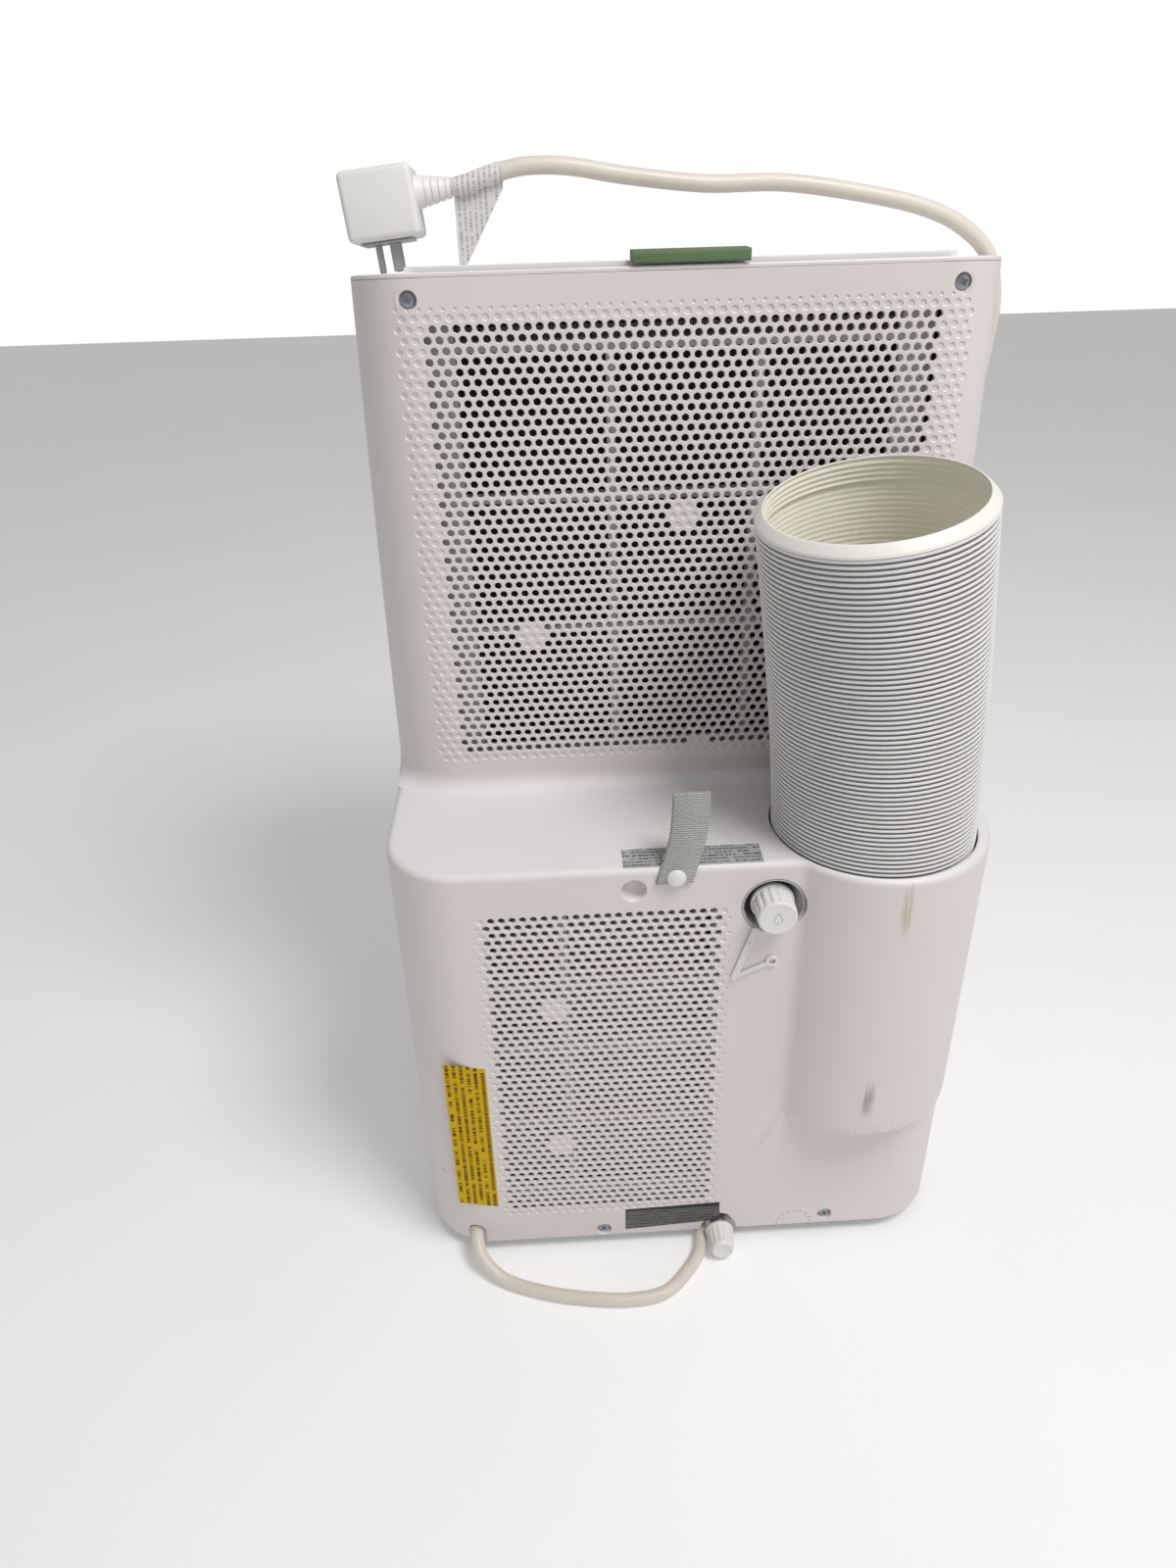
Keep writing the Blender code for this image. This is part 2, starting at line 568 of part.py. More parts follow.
def make_upper_filter(frame_finish, mesh_finish, tab_finish):
    y0, y1 = FILTER_Y
    edge = 0.1770
    sides = (-edge, -0.1535, 0.1575, edge)
    frame = mesh_object("upper_filter_frame", box(-edge, edge, y0, y1, 0.4380, 0.8096), frame_finish)
    columns = ((sides[1], -0.0590), (-0.0530, 0.0470), (0.0530, sides[2]))
    rows = ((0.4500, 0.5480), (0.5540, 0.6510), (0.6570, 0.7555))
    for x0, x1 in columns:
        for z0, z1 in rows:
            cut(frame, box(x0, x1, y0 - 0.01, y1 + 0.01, z0, z1))
    cut(frame, box(sides[1], sides[2], y0 - 0.01, y1 + 0.01, 0.7620, 0.7960))
    # Rail that rests on the lid, each side of the slot
    join(frame, box(-0.1865, 0.1865, y0 - 0.0015, y1, 0.8068, 0.8096))
    # Step in the front face that the mesh lies in
    cut(frame, box(sides[0] + 0.004, sides[3] - 0.004, y0 - 0.01, y0 + 0.0020, 0.4420, 0.7600))
    mesh_object("upper_filter_mesh",
                box(sides[0] + 0.0043, sides[3] - 0.0043, y0 + 0.0007, y0 + 0.0017, 0.4423, 0.7597), mesh_finish)
    tab = [(0.0464, 0.8099), (0.0600, 0.8084), (0.0612, 0.8150), (0.0600, 0.8165), (0.0380, 0.8165),
           (0.0372, 0.8155), (0.0372, 0.8099)]
    mesh_object("filter_pull_tab", prism(tab, -0.0431, 0.0352, "X"), tab_finish)


def make_lower_filter(finish):
    x0, x1, z0, z1 = -0.0205, 0.1655, 0.0450, 0.3900
    frame = mesh_object("lower_filter", box(x0, x1, 0.1720, 0.1790, z0, z1), finish)
    columns = ((x0 + 0.006, 0.0980), (0.1050, x1 - 0.006))
    ribs = (z0 + 0.006, 0.0650, 0.1500, 0.2360, 0.3020, z1 - 0.003)
    for left, right in columns:
        for low, high in zip(ribs, ribs[1:]):
            cut(frame, box(left, right, 0.16, 0.20, low + 0.003, high - 0.003))
    return frame


# ---------------------------------------------------------------- exhaust hose

def hose_centre(z):
    """The hose stands straight in its well, then leans gently above the shelf."""
    start, end = SHELF_Z, HOSE_TOP_Z
    share = max(0.0, (z - start) / (end - start))
    return HOSE_X + CUFF_LEAN_X * share**1.35, HOSE_Y + CUFF_LEAN_Y * share**1.8, share


def hose_ring(z, radius, sides=28):
    x, y, share = hose_centre(z)
    tilt = Matrix.Rotation(CUFF_TILT_X * share, 3, "X") @ Matrix.Rotation(CUFF_TILT_Y * share, 3, "Y")
    turn = [math.tau * i / sides for i in range(sides)]
    return [Vector((x, y, z)) + tilt @ Vector((radius * math.cos(a), radius * math.sin(a), 0)) for a in turn]


def tube_between(heights, outer, bore):
    """A closed tube whose wall follows the hose's line."""
    bm = bmesh.new()
    outside = [[bm.verts.new(p) for p in hose_ring(z, outer(z))] for z in heights]
    inside = [[bm.verts.new(p) for p in hose_ring(z, bore(z))] for z in reversed(heights)]
    rings = outside + inside
    for low, high in zip(rings, rings[1:] + rings[:1]):
        for i in range(len(low)):
            j = (i + 1) % len(low)
            bm.faces.new((low[i], low[j], high[j], high[i]))
    return bm


def make_hose(hose_finish, cuff_finish, well_finish):
    outer = WELL_R + 0.0015
    bottom = BULGE_BOTTOM + 0.0035
    top = SHELF_Z - WALL - GAP
    profile = ((0.0600, bottom), (outer, bottom), (outer, top), (WELL_R, top), (WELL_R, bottom + 0.003),
               (0.0685, bottom + 0.003), (0.0685, bottom + 0.022), (0.0660, bottom + 0.022),
               (0.0660, bottom + 0.003), (0.0600, bottom + 0.003))
    mesh_object("hose_well", turned(profile, (HOSE_X, HOSE_Y, 0), UP, 40), well_finish)
    foot = bottom + 0.0035
    rise = (HOSE_TOP_Z - SHELF_Z) / 6
    heights = [foot, SHELF_Z - 0.004] + [SHELF_Z + rise * i for i in range(1, 7)]
    hose = mesh_object("exhaust_hose", tube_between(heights, lambda z: HOSE_R, lambda z: HOSE_BORE), hose_finish)
    low, high = HOSE_TOP_Z + GAP, HOSE_TOP_Z + CUFF_HEIGHT
    cuff = mesh_object("hose_cuff", tube_between(
        [low, low + 0.0035, high - 0.001, high],
        lambda z: HOSE_R - 0.0052 * ((z - low) / CUFF_HEIGHT) ** 2,
        lambda z: 0.0712 - 0.0002 * (z - low) / CUFF_HEIGHT), cuff_finish)
    return hose, cuff


# ---------------------------------------------------------------- drains, strap, screws

UPPER_SCREWS = ((0.1848, 0.7911), (-0.1884, 0.7916))
LOWER_SCREWS = ((0.0755, 0.0224), (-0.1275, 0.0257))
UPPER_SEAT, LOWER_SEAT = 0.0034, 0.0045
UPPER_DRAIN = (-0.0585, 0.3790)
LOWER_DRAIN = (-0.0300, 0.0150)
STRAP_RIVET = (0.0161, 0.4115)


def fluted(radius_low, radius_high, length, centre, axis, flutes=16, bore=None):
    """A drain cap: a tapered knob with shallow grooves down its side, over a threaded spout."""
    axis, side, up = ring_basis(axis)
    centre = Vector(centre)
    count = flutes * 2

    def ring(radius, height, groove):
        points = []
        for i in range(count):
            a = math.tau * i / count
            r = radius - (groove if i % 2 else 0.0)
            points.append(centre + height * axis + r * (math.cos(a) * side + math.sin(a) * up))
        return points

    loops = [ring(radius_low, 0.0, 0.0), ring(radius_low, 0.0030, 0.0), ring(radius_low - 0.0008, 0.0034, 0.0006),
             ring(radius_high, length - 0.0025, 0.0006), ring(radius_high - 0.0016, length, 0.0)]
    return loft(loops)


def make_upper_drain(spout_finish, cap_finish, tether_finish):
    x, z = UPPER_DRAIN
    y = LOWER_REAR
    profile = ((0, -0.0170), (0.0240, -0.0170), (0.0240, -0.0004), (0.0225, -0.0004), (0.0225, -0.0150),
               (0.0090, -0.0150), (0.0090, 0.0090), (0.0065, 0.0090), (0.0065, -0.0120), (0, -0.0120))
    spout = mesh_object("upper_drain_spout", turned(profile, (x, y, z), REAR, 28), spout_finish)
    cut(spout, rod((HOSE_X, HOSE_Y, z - 0.03), (HOSE_X, HOSE_Y, z + 0.03), WELL_R + 0.0021, sides=40))
    cap = mesh_object("upper_drain_cap", fluted(0.0160, 0.0140, 0.0236, (x, y - 0.0072, z), REAR), cap_finish)
    cut(cap, rod((x, y - 0.02, z), (x, y + 0.0120, z), 0.0094, sides=20))
    set_origin(cap, (x, y, z))
    # The cap's rubber tether hangs from the recess and folds back up to a loose ring
    upper, fold, ring = Vector((-0.0500, 0.3640)), Vector((-0.0300, 0.3175)), Vector((-0.0600, 0.3310))
    tether = mesh_object("cap_tether", strip(upper, fold, 0.0052, 0.1914, 0.1932), tether_finish)
    join(tether, strip(fold, ring, 0.0042, 0.1914, 0.1932))
    join(tether, rod((fold.x, 0.1914, fold.y), (fold.x, 0.1932, fold.y), 0.0028, sides=12))
    join(tether, rod((ring.x, 0.1914, ring.y), (ring.x, 0.1932, ring.y), 0.0052, sides=20))
    cut(tether, rod((ring.x, 0.18, ring.y), (ring.x, 0.20, ring.y), 0.0024, sides=12))


def strip(start, end, width, y_low, y_high):
    along = (end - start).normalized()
    side = Vector((-along.y, along.x)) * width / 2
    outline = [start - side, end - side, end + side, start + side]
    return prism([tuple(p) for p in outline], y_low, y_high)


def make_lower_drain_cap(finish):
    x, z = LOWER_DRAIN
    cap = mesh_object("lower_drain_cap", fluted(0.0125, 0.0100, 0.0225, (x, 0.1935, z + 0.0005), REAR, 12), finish)
    cut(cap, rod((x, 0.18, z + 0.0005), (x, 0.2115, z + 0.0005), 0.0074, sides=20))
    return set_origin(cap, (x, 0.1935, z + 0.0005))


def make_strap(strap_finish, rivet_finish):
    """A webbing loop riveted under the shelf's edge, standing up over it."""
    x, z = STRAP_RIVET
    y = LOWER_REAR
    line = [(0.0171, y + 0.0004, 0.4060), (0.0158, y + 0.0004, 0.4118), (0.0141, y - 0.0012, 0.4165),
            (0.0124, y - 0.0040, 0.4205), (0.0070, y - 0.0078, 0.4375), (0.0048, y - 0.0103, 0.4570),
            (0.0042, y - 0.0115, 0.4755)]
    thick, half = 0.0034, 0.0137
    loops = []
    for i, (px, py, pz) in enumerate(line):
        ahead = line[min(i + 1, len(line) - 1)]
        behind = line[max(i - 1, 0)]
        along = Vector((ahead[1] - behind[1], ahead[2] - behind[2])).normalized()
        out = Vector((along.y, -along.x)) * thick
        loops.append([(px - half, py, pz), (px + half, py, pz),
                      (px + half, py + out.x, pz + out.y), (px - half, py + out.x, pz + out.y)])
    strap = mesh_object("hose_strap", loft(loops), strap_finish)
    cut(strap, rod((x, y - 0.01, z), (x, y + 0.01, z), 0.0028, sides=12))
    profile = ((0, -0.0080), (0.0020, -0.0080), (0.0020, 0.0041), (0.0072, 0.0041), (0.0066, 0.0056),
               (0.0040, 0.0068), (0, 0.0072))
    mesh_object("strap_rivet", turned(profile, (x, y, z), REAR, 16), rivet_finish)


# ---------------------------------------------------------------- power cord

def smooth_line(points, spacing):
    """Evenly spaced points on the smooth curve through the route's points, with a short straight
    piece at each end."""
    knots = [Vector(p) for p in points]
    ends = [knots[0] * 2 - knots[1]] + knots + [knots[-1] * 2 - knots[-2]]
    fine = []
    for a, b, c, d in zip(ends, ends[1:], ends[2:], ends[3:]):
        for step in range(20):
            t = step / 20
            fine.append(0.5 * (2 * b + (c - a) * t + (2 * a - 5 * b + 4 * c - d) * t**2
                               + (3 * b - a - 3 * c + d) * t**3))
    fine.append(knots[-1])
    lengths = [0.0]
    for a, b in zip(fine, fine[1:]):
        lengths.append(lengths[-1] + (b - a).length)
    count = round(lengths[-1] / spacing)
    stations = [lengths[-1] * step / count for step in range(count + 1)]
    stations[1:1] = [0.006]
    stations[-1:-1] = [lengths[-1] - 0.006]
    line, at = [], 0
    for target in stations:
        while at < len(fine) - 2 and lengths[at + 1] < target:
            at += 1
        share = (target - lengths[at]) / (lengths[at + 1] - lengths[at])
        line.append(fine[at].lerp(fine[at + 1], share))
    return line


def make_cord(finish):
    curve = bpy.data.curves.new("power_cord", "CURVE")
    curve.dimensions = "3D"
    curve.bevel_depth = CORD_D / 2
    curve.bevel_resolution = 2
    curve.use_fill_caps = True
    line = smooth_line(CORD_ROUTE, CORD_SPACING)
    spline = curve.splines.new("POLY")
    spline.points.add(len(line) - 1)
    for point, place in zip(spline.points, line):
        point.co = (*place, 1.0)
    curve.materials.append(finish)
    bpy.context.scene.collection.objects.link(bpy.data.objects.new("power_cord", curve))
    x, y, z = CORD_EXIT
    mesh_object("cord_gland", rod((x, y - 0.0370, z), (x, y - 2 * GAP, z), 0.0098, 0.0064), finish)


def make_plug(finish, blade_finish, button_finishes, tag_finish):
    """A rectangular leak-detecting plug that stands on its blades on the lid, tipped to the cord's slope."""
    x, y, z = CORD_ROUTE[-1]
    parent = frame_empty("plug_frame", (x, y, z), (TOP_SLOPE, math.radians(6), 0))
    body = mesh_object("plug_body", box(0.0240, 0.0740, -0.0230, 0.0230, -0.0268, 0.0170), finish, parent)
    combine_local(body, rod((GAP, 0, 0), (0.0250, 0, 0), 0.0066, 0.0110), "UNION")
    for spot in (0.0400, 0.0580):
        combine_local(body, box(spot - 0.0056, spot + 0.0056, -0.0086, 0.0086, 0.0110, 0.03))
    blades = mesh_object("plug_blades", box(0.0310, 0.0670, -0.0140, 0.0140, -0.0286, -0.0271), blade_finish,
                         parent)
    for side in (-1, 1):
        combine_local(blades, box(0.0415, 0.0485, side * 0.00635 - 0.0008, side * 0.00635 + 0.0008,
                                  -0.0464, -0.0280), "UNION")
    combine_local(blades, rod((0.0570, 0, -0.0477), (0.0570, 0, -0.0280), 0.0024, sides=12), "UNION")
    for name, spot, look in zip(("plug_test_button", "plug_reset_button"), (0.0400, 0.0580), button_finishes):
        button = mesh_object(name, box(spot - 0.0052, spot + 0.0052, -0.0082, 0.0082, 0.0126, 0.0182), look,
                             parent)
        set_origin(button, (spot, 0, 0.0170))
    flag = [(0.1530, 0.8060), (0.1482, 0.8060), (0.1190, 0.8540), (0.1190, 0.8560), (0.1350, 0.8520),
            (0.1530, 0.8472)]
    mesh_object("cord_tag", prism(flag, -0.0118, -0.0106), tag_finish)


# ---------------------------------------------------------------- inside

def fan_wheel(name, centre, radius, width, blades, finish):
    """A centrifugal wheel: a backplate with a hub, and forward-curved blades standing from its rim."""
    x, y, z = centre
    profile = ((0, 0.0), (radius, 0.0), (radius, 0.0030), (0.0160, 0.0030), (0.0140, 0.0200), (0, 0.0200))
    wheel = mesh_object(name, turned(profile, centre, REAR, 24), finish)
    for number in range(blades):
        turn = math.tau * number / blades
        along = Vector((math.cos(turn), math.sin(turn)))
        side = Vector((-along.y, along.x))
        root, tip = along * (radius - 0.022), along * (radius - 0.003) + side * 0.008
        outline = [root - side * 0.001, tip - side * 0.001, tip + side * 0.001, root + side * 0.001]
        join(wheel, prism([(x + p.x, z + p.y) for p in outline], y + 0.002, y + width))
    return set_origin(wheel, centre)


def make_inside(steel, copper_fins, plastic, tray_finish):
    profile = ((0, 0.0), (0.0660, 0.0), (0.0660, 0.0040), (0.0560, 0.0080), (0.0580, 0.0200),
               (0.0580, 0.2050), (0.0480, 0.2250), (0.0200, 0.2330), (0, 0.2340))
    mesh_object("compressor", turned(profile, (0.085, -0.100, PAN_TOP + GAP), UP, 20), steel)
    coil = mesh_object("condenser_coil", box(-0.0150, 0.1650, 0.1300, 0.1600, PAN_TOP + GAP, 0.3900), copper_fins)
    cut(coil, box(0.1350, 0.1700, 0.12, 0.17, 0.0, 0.0660))
    mesh_object("evaporator_coil", box(-0.1650, 0.1650, -0.0100, 0.0280, 0.4303, 0.7700), copper_fins)
    fan_wheel("condenser_fan_wheel", (0.0750, 0.0550, 0.2100), 0.0820, 0.0500, 9, plastic)
    fan_wheel("evaporator_fan_wheel", (0.0, -0.0850, 0.5900), 0.1100, 0.0500, 10, plastic)
    motors = (("condenser_fan_motor", 0.0750, 0.2100, 0.0550, PAN_TOP + GAP, 0.070),
              ("evaporator_fan_motor", 0.0, 0.5900, -0.0850, 0.4303, 0.075))
    for name, x, z, face, floor, depth in motors:
        profile = ((0, -depth), (0.0360, -depth), (0.0420, -depth + 0.008), (0.0420, -0.014),
                   (0.0300, -0.0060), (0.0080, -0.0060), (0.0080, -GAP), (0, -GAP))
        motor = mesh_object(name, turned(profile, (x, face, z), REAR, 16), steel)
        join(motor, box(x - 0.0200, x + 0.0200, face - 0.0500, face - 0.0250, floor, z - 0.0300))
    plan = tower_outline(0.43, WALL + GAP, SEAM_Y)[1:-1] + front_outline(0.43, WALL + GAP, SEAM_Y)[1:-1]
    tray = mesh_object("drain_tray", loft([level(plan, 0.4220), level(plan, 0.4300)]), tray_finish)
    cut(tray, box(-0.2000, -0.1750, -0.0150, 0.0320, 0.4245, 0.44))


# ---------------------------------------------------------------- the whole object

def main():
    clear_scene()
    shell = material("white_plastic", (0.80, 0.78, 0.78), 0.42)
    inner = material("grey_plastic", (0.62, 0.62, 0.62), 0.5)
    dark = material("dark_plastic", (0.03, 0.03, 0.035), 0.35)
    steel = material("steel", (0.55, 0.56, 0.58), 0.35, 1.0)
    zinc = material("zinc", (0.45, 0.46, 0.47), 0.3, 1.0)
    fins = material("coil_fins", (0.60, 0.62, 0.64), 0.4, 1.0)
    cream = material("cream_vinyl", (0.78, 0.75, 0.67), 0.45)
    hose_white = material("hose_plastic", (0.76, 0.75, 0.72), 0.5)
    green = material("green_plastic", (0.25, 0.40, 0.28), 0.6)
    webbing = material("webbing", (0.50, 0.53, 0.49), 0.9)
    tyre = material("tyre_rubber", (0.05, 0.05, 0.05), 0.6)
    screen = material("filter_screen", (0.04, 0.04, 0.04), 0.8)
    paper = material("tag_film", (0.82, 0.82, 0.80), 0.5)
    red = material("red_plastic", (0.55, 0.05, 0.04), 0.4)

    make_rear_cover(shell)
    make_front_cover(shell)
    make_top_cover(shell)
    grille_plate("upper_intake_grille", UPPER_WINDOW, TOWER_REAR, 12, 2, shell)
    grille_plate("lower_intake_grille", LOWER_WINDOW, LOWER_REAR, 12, 1, shell)
    make_grip_cup("grip_cup_left", 1, inner)
    make_grip_cup("grip_cup_right", -1, inner)
    for name, (x, z) in zip(("upper_screw_left", "upper_screw_right"), UPPER_SCREWS):
        make_screw(name, x, z, tower_surface(x, z), UPPER_SEAT, zinc)
    for name, (x, z) in zip(("lower_screw_left", "lower_screw_right"), LOWER_SCREWS):
        make_screw(name, x, z, LOWER_REAR, LOWER_SEAT, zinc)
    make_base_pan(inner)
    for number, (x, y) in enumerate(CASTER_SPOTS, 1):
        make_caster(number, x, y, dark, tyre)
    top = frame_empty("top_frame", (0, TOWER_REAR, TOP_Z), (TOP_SLOPE, 0, 0))
    make_outlet(top, inner, shell, inner)
    make_controls(top, inner, dark, shell)
    make_upper_filter(inner, screen, green)
    make_lower_filter(inner)
    make_hose(hose_white, hose_white, inner)
    make_upper_drain(inner, shell, shell)
    make_lower_drain_cap(shell)
    make_strap(webbing, shell)
    make_cord(cream)
    make_plug(shell, steel, (dark, red), paper)
    make_inside(steel, fins, dark, inner)
    bpy.context.view_layer.update()


main()
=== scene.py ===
"""Looks of a portable air conditioner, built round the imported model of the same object.

Every piece is in metres and in the model's own frame: +Z up, front -Y, rear +Y, origin on the floor.
"""

import math

import bmesh
import bpy
from mathutils import Matrix, Vector


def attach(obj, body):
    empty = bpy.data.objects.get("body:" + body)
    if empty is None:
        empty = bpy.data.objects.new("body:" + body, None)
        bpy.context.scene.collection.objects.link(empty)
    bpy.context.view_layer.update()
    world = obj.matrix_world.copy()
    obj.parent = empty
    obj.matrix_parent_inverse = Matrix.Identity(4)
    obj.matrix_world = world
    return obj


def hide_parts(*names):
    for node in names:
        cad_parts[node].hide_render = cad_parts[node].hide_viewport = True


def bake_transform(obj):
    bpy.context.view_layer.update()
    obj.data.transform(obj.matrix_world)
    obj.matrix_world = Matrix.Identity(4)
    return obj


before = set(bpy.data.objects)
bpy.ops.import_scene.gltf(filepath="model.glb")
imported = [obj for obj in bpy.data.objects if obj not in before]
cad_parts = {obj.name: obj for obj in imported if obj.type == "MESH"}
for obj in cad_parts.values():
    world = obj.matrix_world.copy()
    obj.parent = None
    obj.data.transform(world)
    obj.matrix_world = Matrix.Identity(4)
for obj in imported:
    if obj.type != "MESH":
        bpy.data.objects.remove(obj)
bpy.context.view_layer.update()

# The casing, as in the model
SEAM_Y, TOWER_REAR, LOWER_REAR = 0.0, 0.059, 0.191
HALF_WIDTH, FRONT_Y = 0.235, -0.227
CASE_BOTTOM, SHELF_Z, TOP_Z = 0.013, 0.4175, 0.8075
TOP_SLOPE = math.radians(5.0)
TOP_THICK = 0.0032
PLAN_Z = 0.80  # the height whose outline the sloping top takes
SIDE_DRAFT = 0.0080
FLAT_HALF = 0.179
LOWER_CORNER, FRONT_CORNER = 0.060, 0.045
SHELF_ROUND, SHELF_FILLET = 0.006, 0.016
WALL, GAP = 0.003, 0.0003
HOSE_X, HOSE_Y = -0.1437, 0.1375
WELL_R = 0.0790
BULGE_X, BULGE_Y, BULGE_R = -0.1467, 0.1365, 0.0857
BULGE_BOTTOM, BULGE_ROUND = 0.157, 0.009
HOSE_R, HOSE_TOP_Z, CUFF_HEIGHT = 0.0778, 0.667, 0.0082
CUFF_LEAN_X, CUFF_LEAN_Y = 0.0298, 0.0162
CUFF_TILT_X, CUFF_TILT_Y = math.radians(-5.7), math.radians(8.7)
UPPER_SCREWS = ((0.1848, 0.7911), (-0.1884, 0.7916))
LOWER_SCREWS = ((0.0755, 0.0224), (-0.1275, 0.0257))
UPPER_SEAT, LOWER_SEAT = 0.0034, 0.0045
UPPER_DRAIN, LOWER_DRAIN = (-0.0585, 0.3790), (-0.0300, 0.0155)
LOWER_CAP_Y = 0.1935
STRAP_RIVET = (0.0161, 0.4115)
FINGER_HOLE = (0.047, 0.399)
TOP_FRAME = Matrix.Translation((0, TOWER_REAR, TOP_Z)) @ Matrix.Rotation(TOP_SLOPE, 4, "X")
OUTLET_WINDOW = (-0.1650, 0.1650, -0.2620, -0.1820)
PANEL_WINDOW = (-0.1300, 0.1300, -0.1600, -0.0950)
LOUVER_AXIS = (0.0, -0.1848, -0.0018)

# The perforations, a 60 degree lattice of round holes
PITCH = 0.008
ROW = PITCH * math.sqrt(3) / 2
RIM_R, HOLE_R = 0.00308, 0.00284
PLATE = 0.0025
UPPER_ROW_Z, LOWER_ROW_Z = 0.7032, 0.2316
# The +X-most cell of an even row; an odd row starts half a pitch further in
UPPER_FIRST, LOWER_FIRST = 0.19408, 0.16678
LOWER_COUNT = 25
# The row of fine dots above the upper field
DOT_Z, DOT_COUNT, DOT_DEPTH = 0.7849, 49, 0.0007

# The power cord
CORD_D = 0.0115
CORD_Z = CORD_D / 2 + 0.0002
CORD_EXIT = (0.191, 0.1886, 0.0262)
CORD_ROUTE = (
    CORD_EXIT, (0.191, 0.1960, 0.0262), (0.1865, 0.2100, 0.0190), (0.1670, 0.2250, CORD_Z + 0.0010),
    (0.1320, 0.2390, CORD_Z), (0.0940, 0.2475, CORD_Z), (0.0560, 0.2510, CORD_Z),
    (0.0255, 0.2460, CORD_Z), (0.0045, 0.2280, CORD_Z), (-0.0095, 0.2080, CORD_Z),
    (-0.0145, 0.1850, CORD_Z), (-0.0165, 0.1500, CORD_Z), (-0.0310, 0.1100, CORD_Z),
    (-0.0620, 0.0680, CORD_Z), (-0.1030, 0.0280, CORD_Z), (-0.1560, -0.0050, CORD_Z),
    (-0.2130, -0.0260, CORD_Z), (-0.2530, -0.0350, 0.0090), (-0.2830, -0.0410, 0.0260),
    (-0.2960, -0.0450, 0.0600), (-0.2900, -0.0470, 0.1100), (-0.2700, -0.0490, 0.1900),
    (-0.2500, -0.0500, 0.2900), (-0.2424, -0.0500, 0.3900), (-0.2424, -0.0490, 0.4900),
    (-0.2440, -0.0435, 0.6500), (-0.2480, -0.0380, 0.7350),
    (-0.2475, -0.0345, 0.7710), (-0.2371, -0.0318, 0.8023), (-0.2130, -0.0301, 0.8223),
    (-0.1819, -0.0286, 0.8350), (-0.1374, -0.0269, 0.8445), (-0.0798, -0.0244, 0.8525),
    (-0.0234, -0.0214, 0.8533), (0.0322, -0.0180, 0.8595), (0.0730, -0.0145, 0.8660),
    (0.1030, -0.0125, 0.8668), (0.1255, -0.0112, 0.8626), (0.1426, -0.0105, 0.8574),
    (0.1545, -0.0105, 0.8553),
)

UP, REAR = Vector((0, 0, 1)), Vector((0, 1, 0))


# ---------------------------------------------------------------- materials

class Net:
    """A material's node tree, with short ways to add and join its nodes."""

    def __init__(self, name, roughness=0.5, metallic=0.0, **sockets):
        self.material = bpy.data.materials.new(name)
        self.material.use_nodes = True
        self.tree = self.material.node_tree
        self.shader = self.tree.nodes["Principled BSDF"]
        self.shader.inputs["Roughness"].default_value = roughness
        self.shader.inputs["Metallic"].default_value = metallic
        for socket, value in sockets.items():
            self.shader.inputs[socket.replace("_", " ")].default_value = value
        self.place = self.add("ShaderNodeTexCoord").outputs["Object"]

    def add(self, kind, **settings):
        node = self.tree.nodes.new(kind)
        for key, value in settings.items():
            setattr(node, key, value)
        return node

    def feed(self, socket, value):
        if isinstance(value, bpy.types.NodeSocket):
            self.tree.links.new(value, socket)
        elif isinstance(value, (tuple, list)) and len(value) == 3 and socket.type == "RGBA":
            socket.default_value = (*value, 1.0)
        else:
            socket.default_value = value

    def math(self, operation, a, b=0.0, c=0.0, clamp=False):
        node = self.add("ShaderNodeMath", operation=operation, use_clamp=clamp)
        for socket, value in zip(node.inputs, (a, b, c)):
            self.feed(socket, value)
        return node.outputs[0]

    def stretched(self, x, y, z, move=(0, 0, 0), turn=(0, 0, 0)):
        node = self.add("ShaderNodeMapping")
        self.feed(node.inputs["Vector"], self.place)
        node.inputs["Scale"].default_value = (x, y, z)
        node.inputs["Location"].default_value = move
        node.inputs["Rotation"].default_value = turn
        return node.outputs[0]

    def noise(self, scale, detail=2.0, vector=None, roughness=0.5):
        node = self.add("ShaderNodeTexNoise")
        self.feed(node.inputs["Vector"], vector or self.place)
        node.inputs["Scale"].default_value = scale
        node.inputs["Detail"].default_value = detail
        node.inputs["Roughness"].default_value = roughness
        return node.outputs[0]

    def between(self, value, low, high, to_low=0.0, to_high=1.0, smooth=False):
        node = self.add("ShaderNodeMapRange")
        node.interpolation_type = "SMOOTHSTEP" if smooth else "LINEAR"
        for socket, item in zip(node.inputs, (value, low, high, to_low, to_high)):
            self.feed(socket, item)
        return node.outputs[0]

    def mix(self, share, a, b):
        node = self.add("ShaderNodeMix", data_type="RGBA")
        self.feed(node.inputs["Factor"], share)
        self.feed(node.inputs[6], a)
        self.feed(node.inputs[7], b)
        return node.outputs[2]

    def axes(self, vector=None):
        node = self.add("ShaderNodeSeparateXYZ")
        self.feed(node.inputs[0], vector or self.place)
        return node.outputs[:3]

    def colour(self, value):
        self.feed(self.shader.inputs["Base Color"], value)

    def roughness(self, value):
        self.feed(self.shader.inputs["Roughness"], value)

    def wave(self, value, period):
        return self.math("SINE", self.math("MULTIPLY", value, math.tau / period))

    def drift(self, scale):
        """A slow change from place to place, from 0 to 1."""
        return self.between(self.noise(scale, 3.0), 0.35, 0.65)

    def worn(self, scale, low, high):
        """Roughness that wanders between two values."""
        self.roughness(self.between(self.noise(scale, 3.0), 0.3, 0.7, low, high))

    def bump(self, height, distance):
        node = self.add("ShaderNodeBump")
        node.inputs["Distance"].default_value = distance
        node.inputs["Strength"].default_value = 1.0
        self.feed(node.inputs["Height"], height)
        self.feed(self.shader.inputs["Normal"], node.outputs[0])


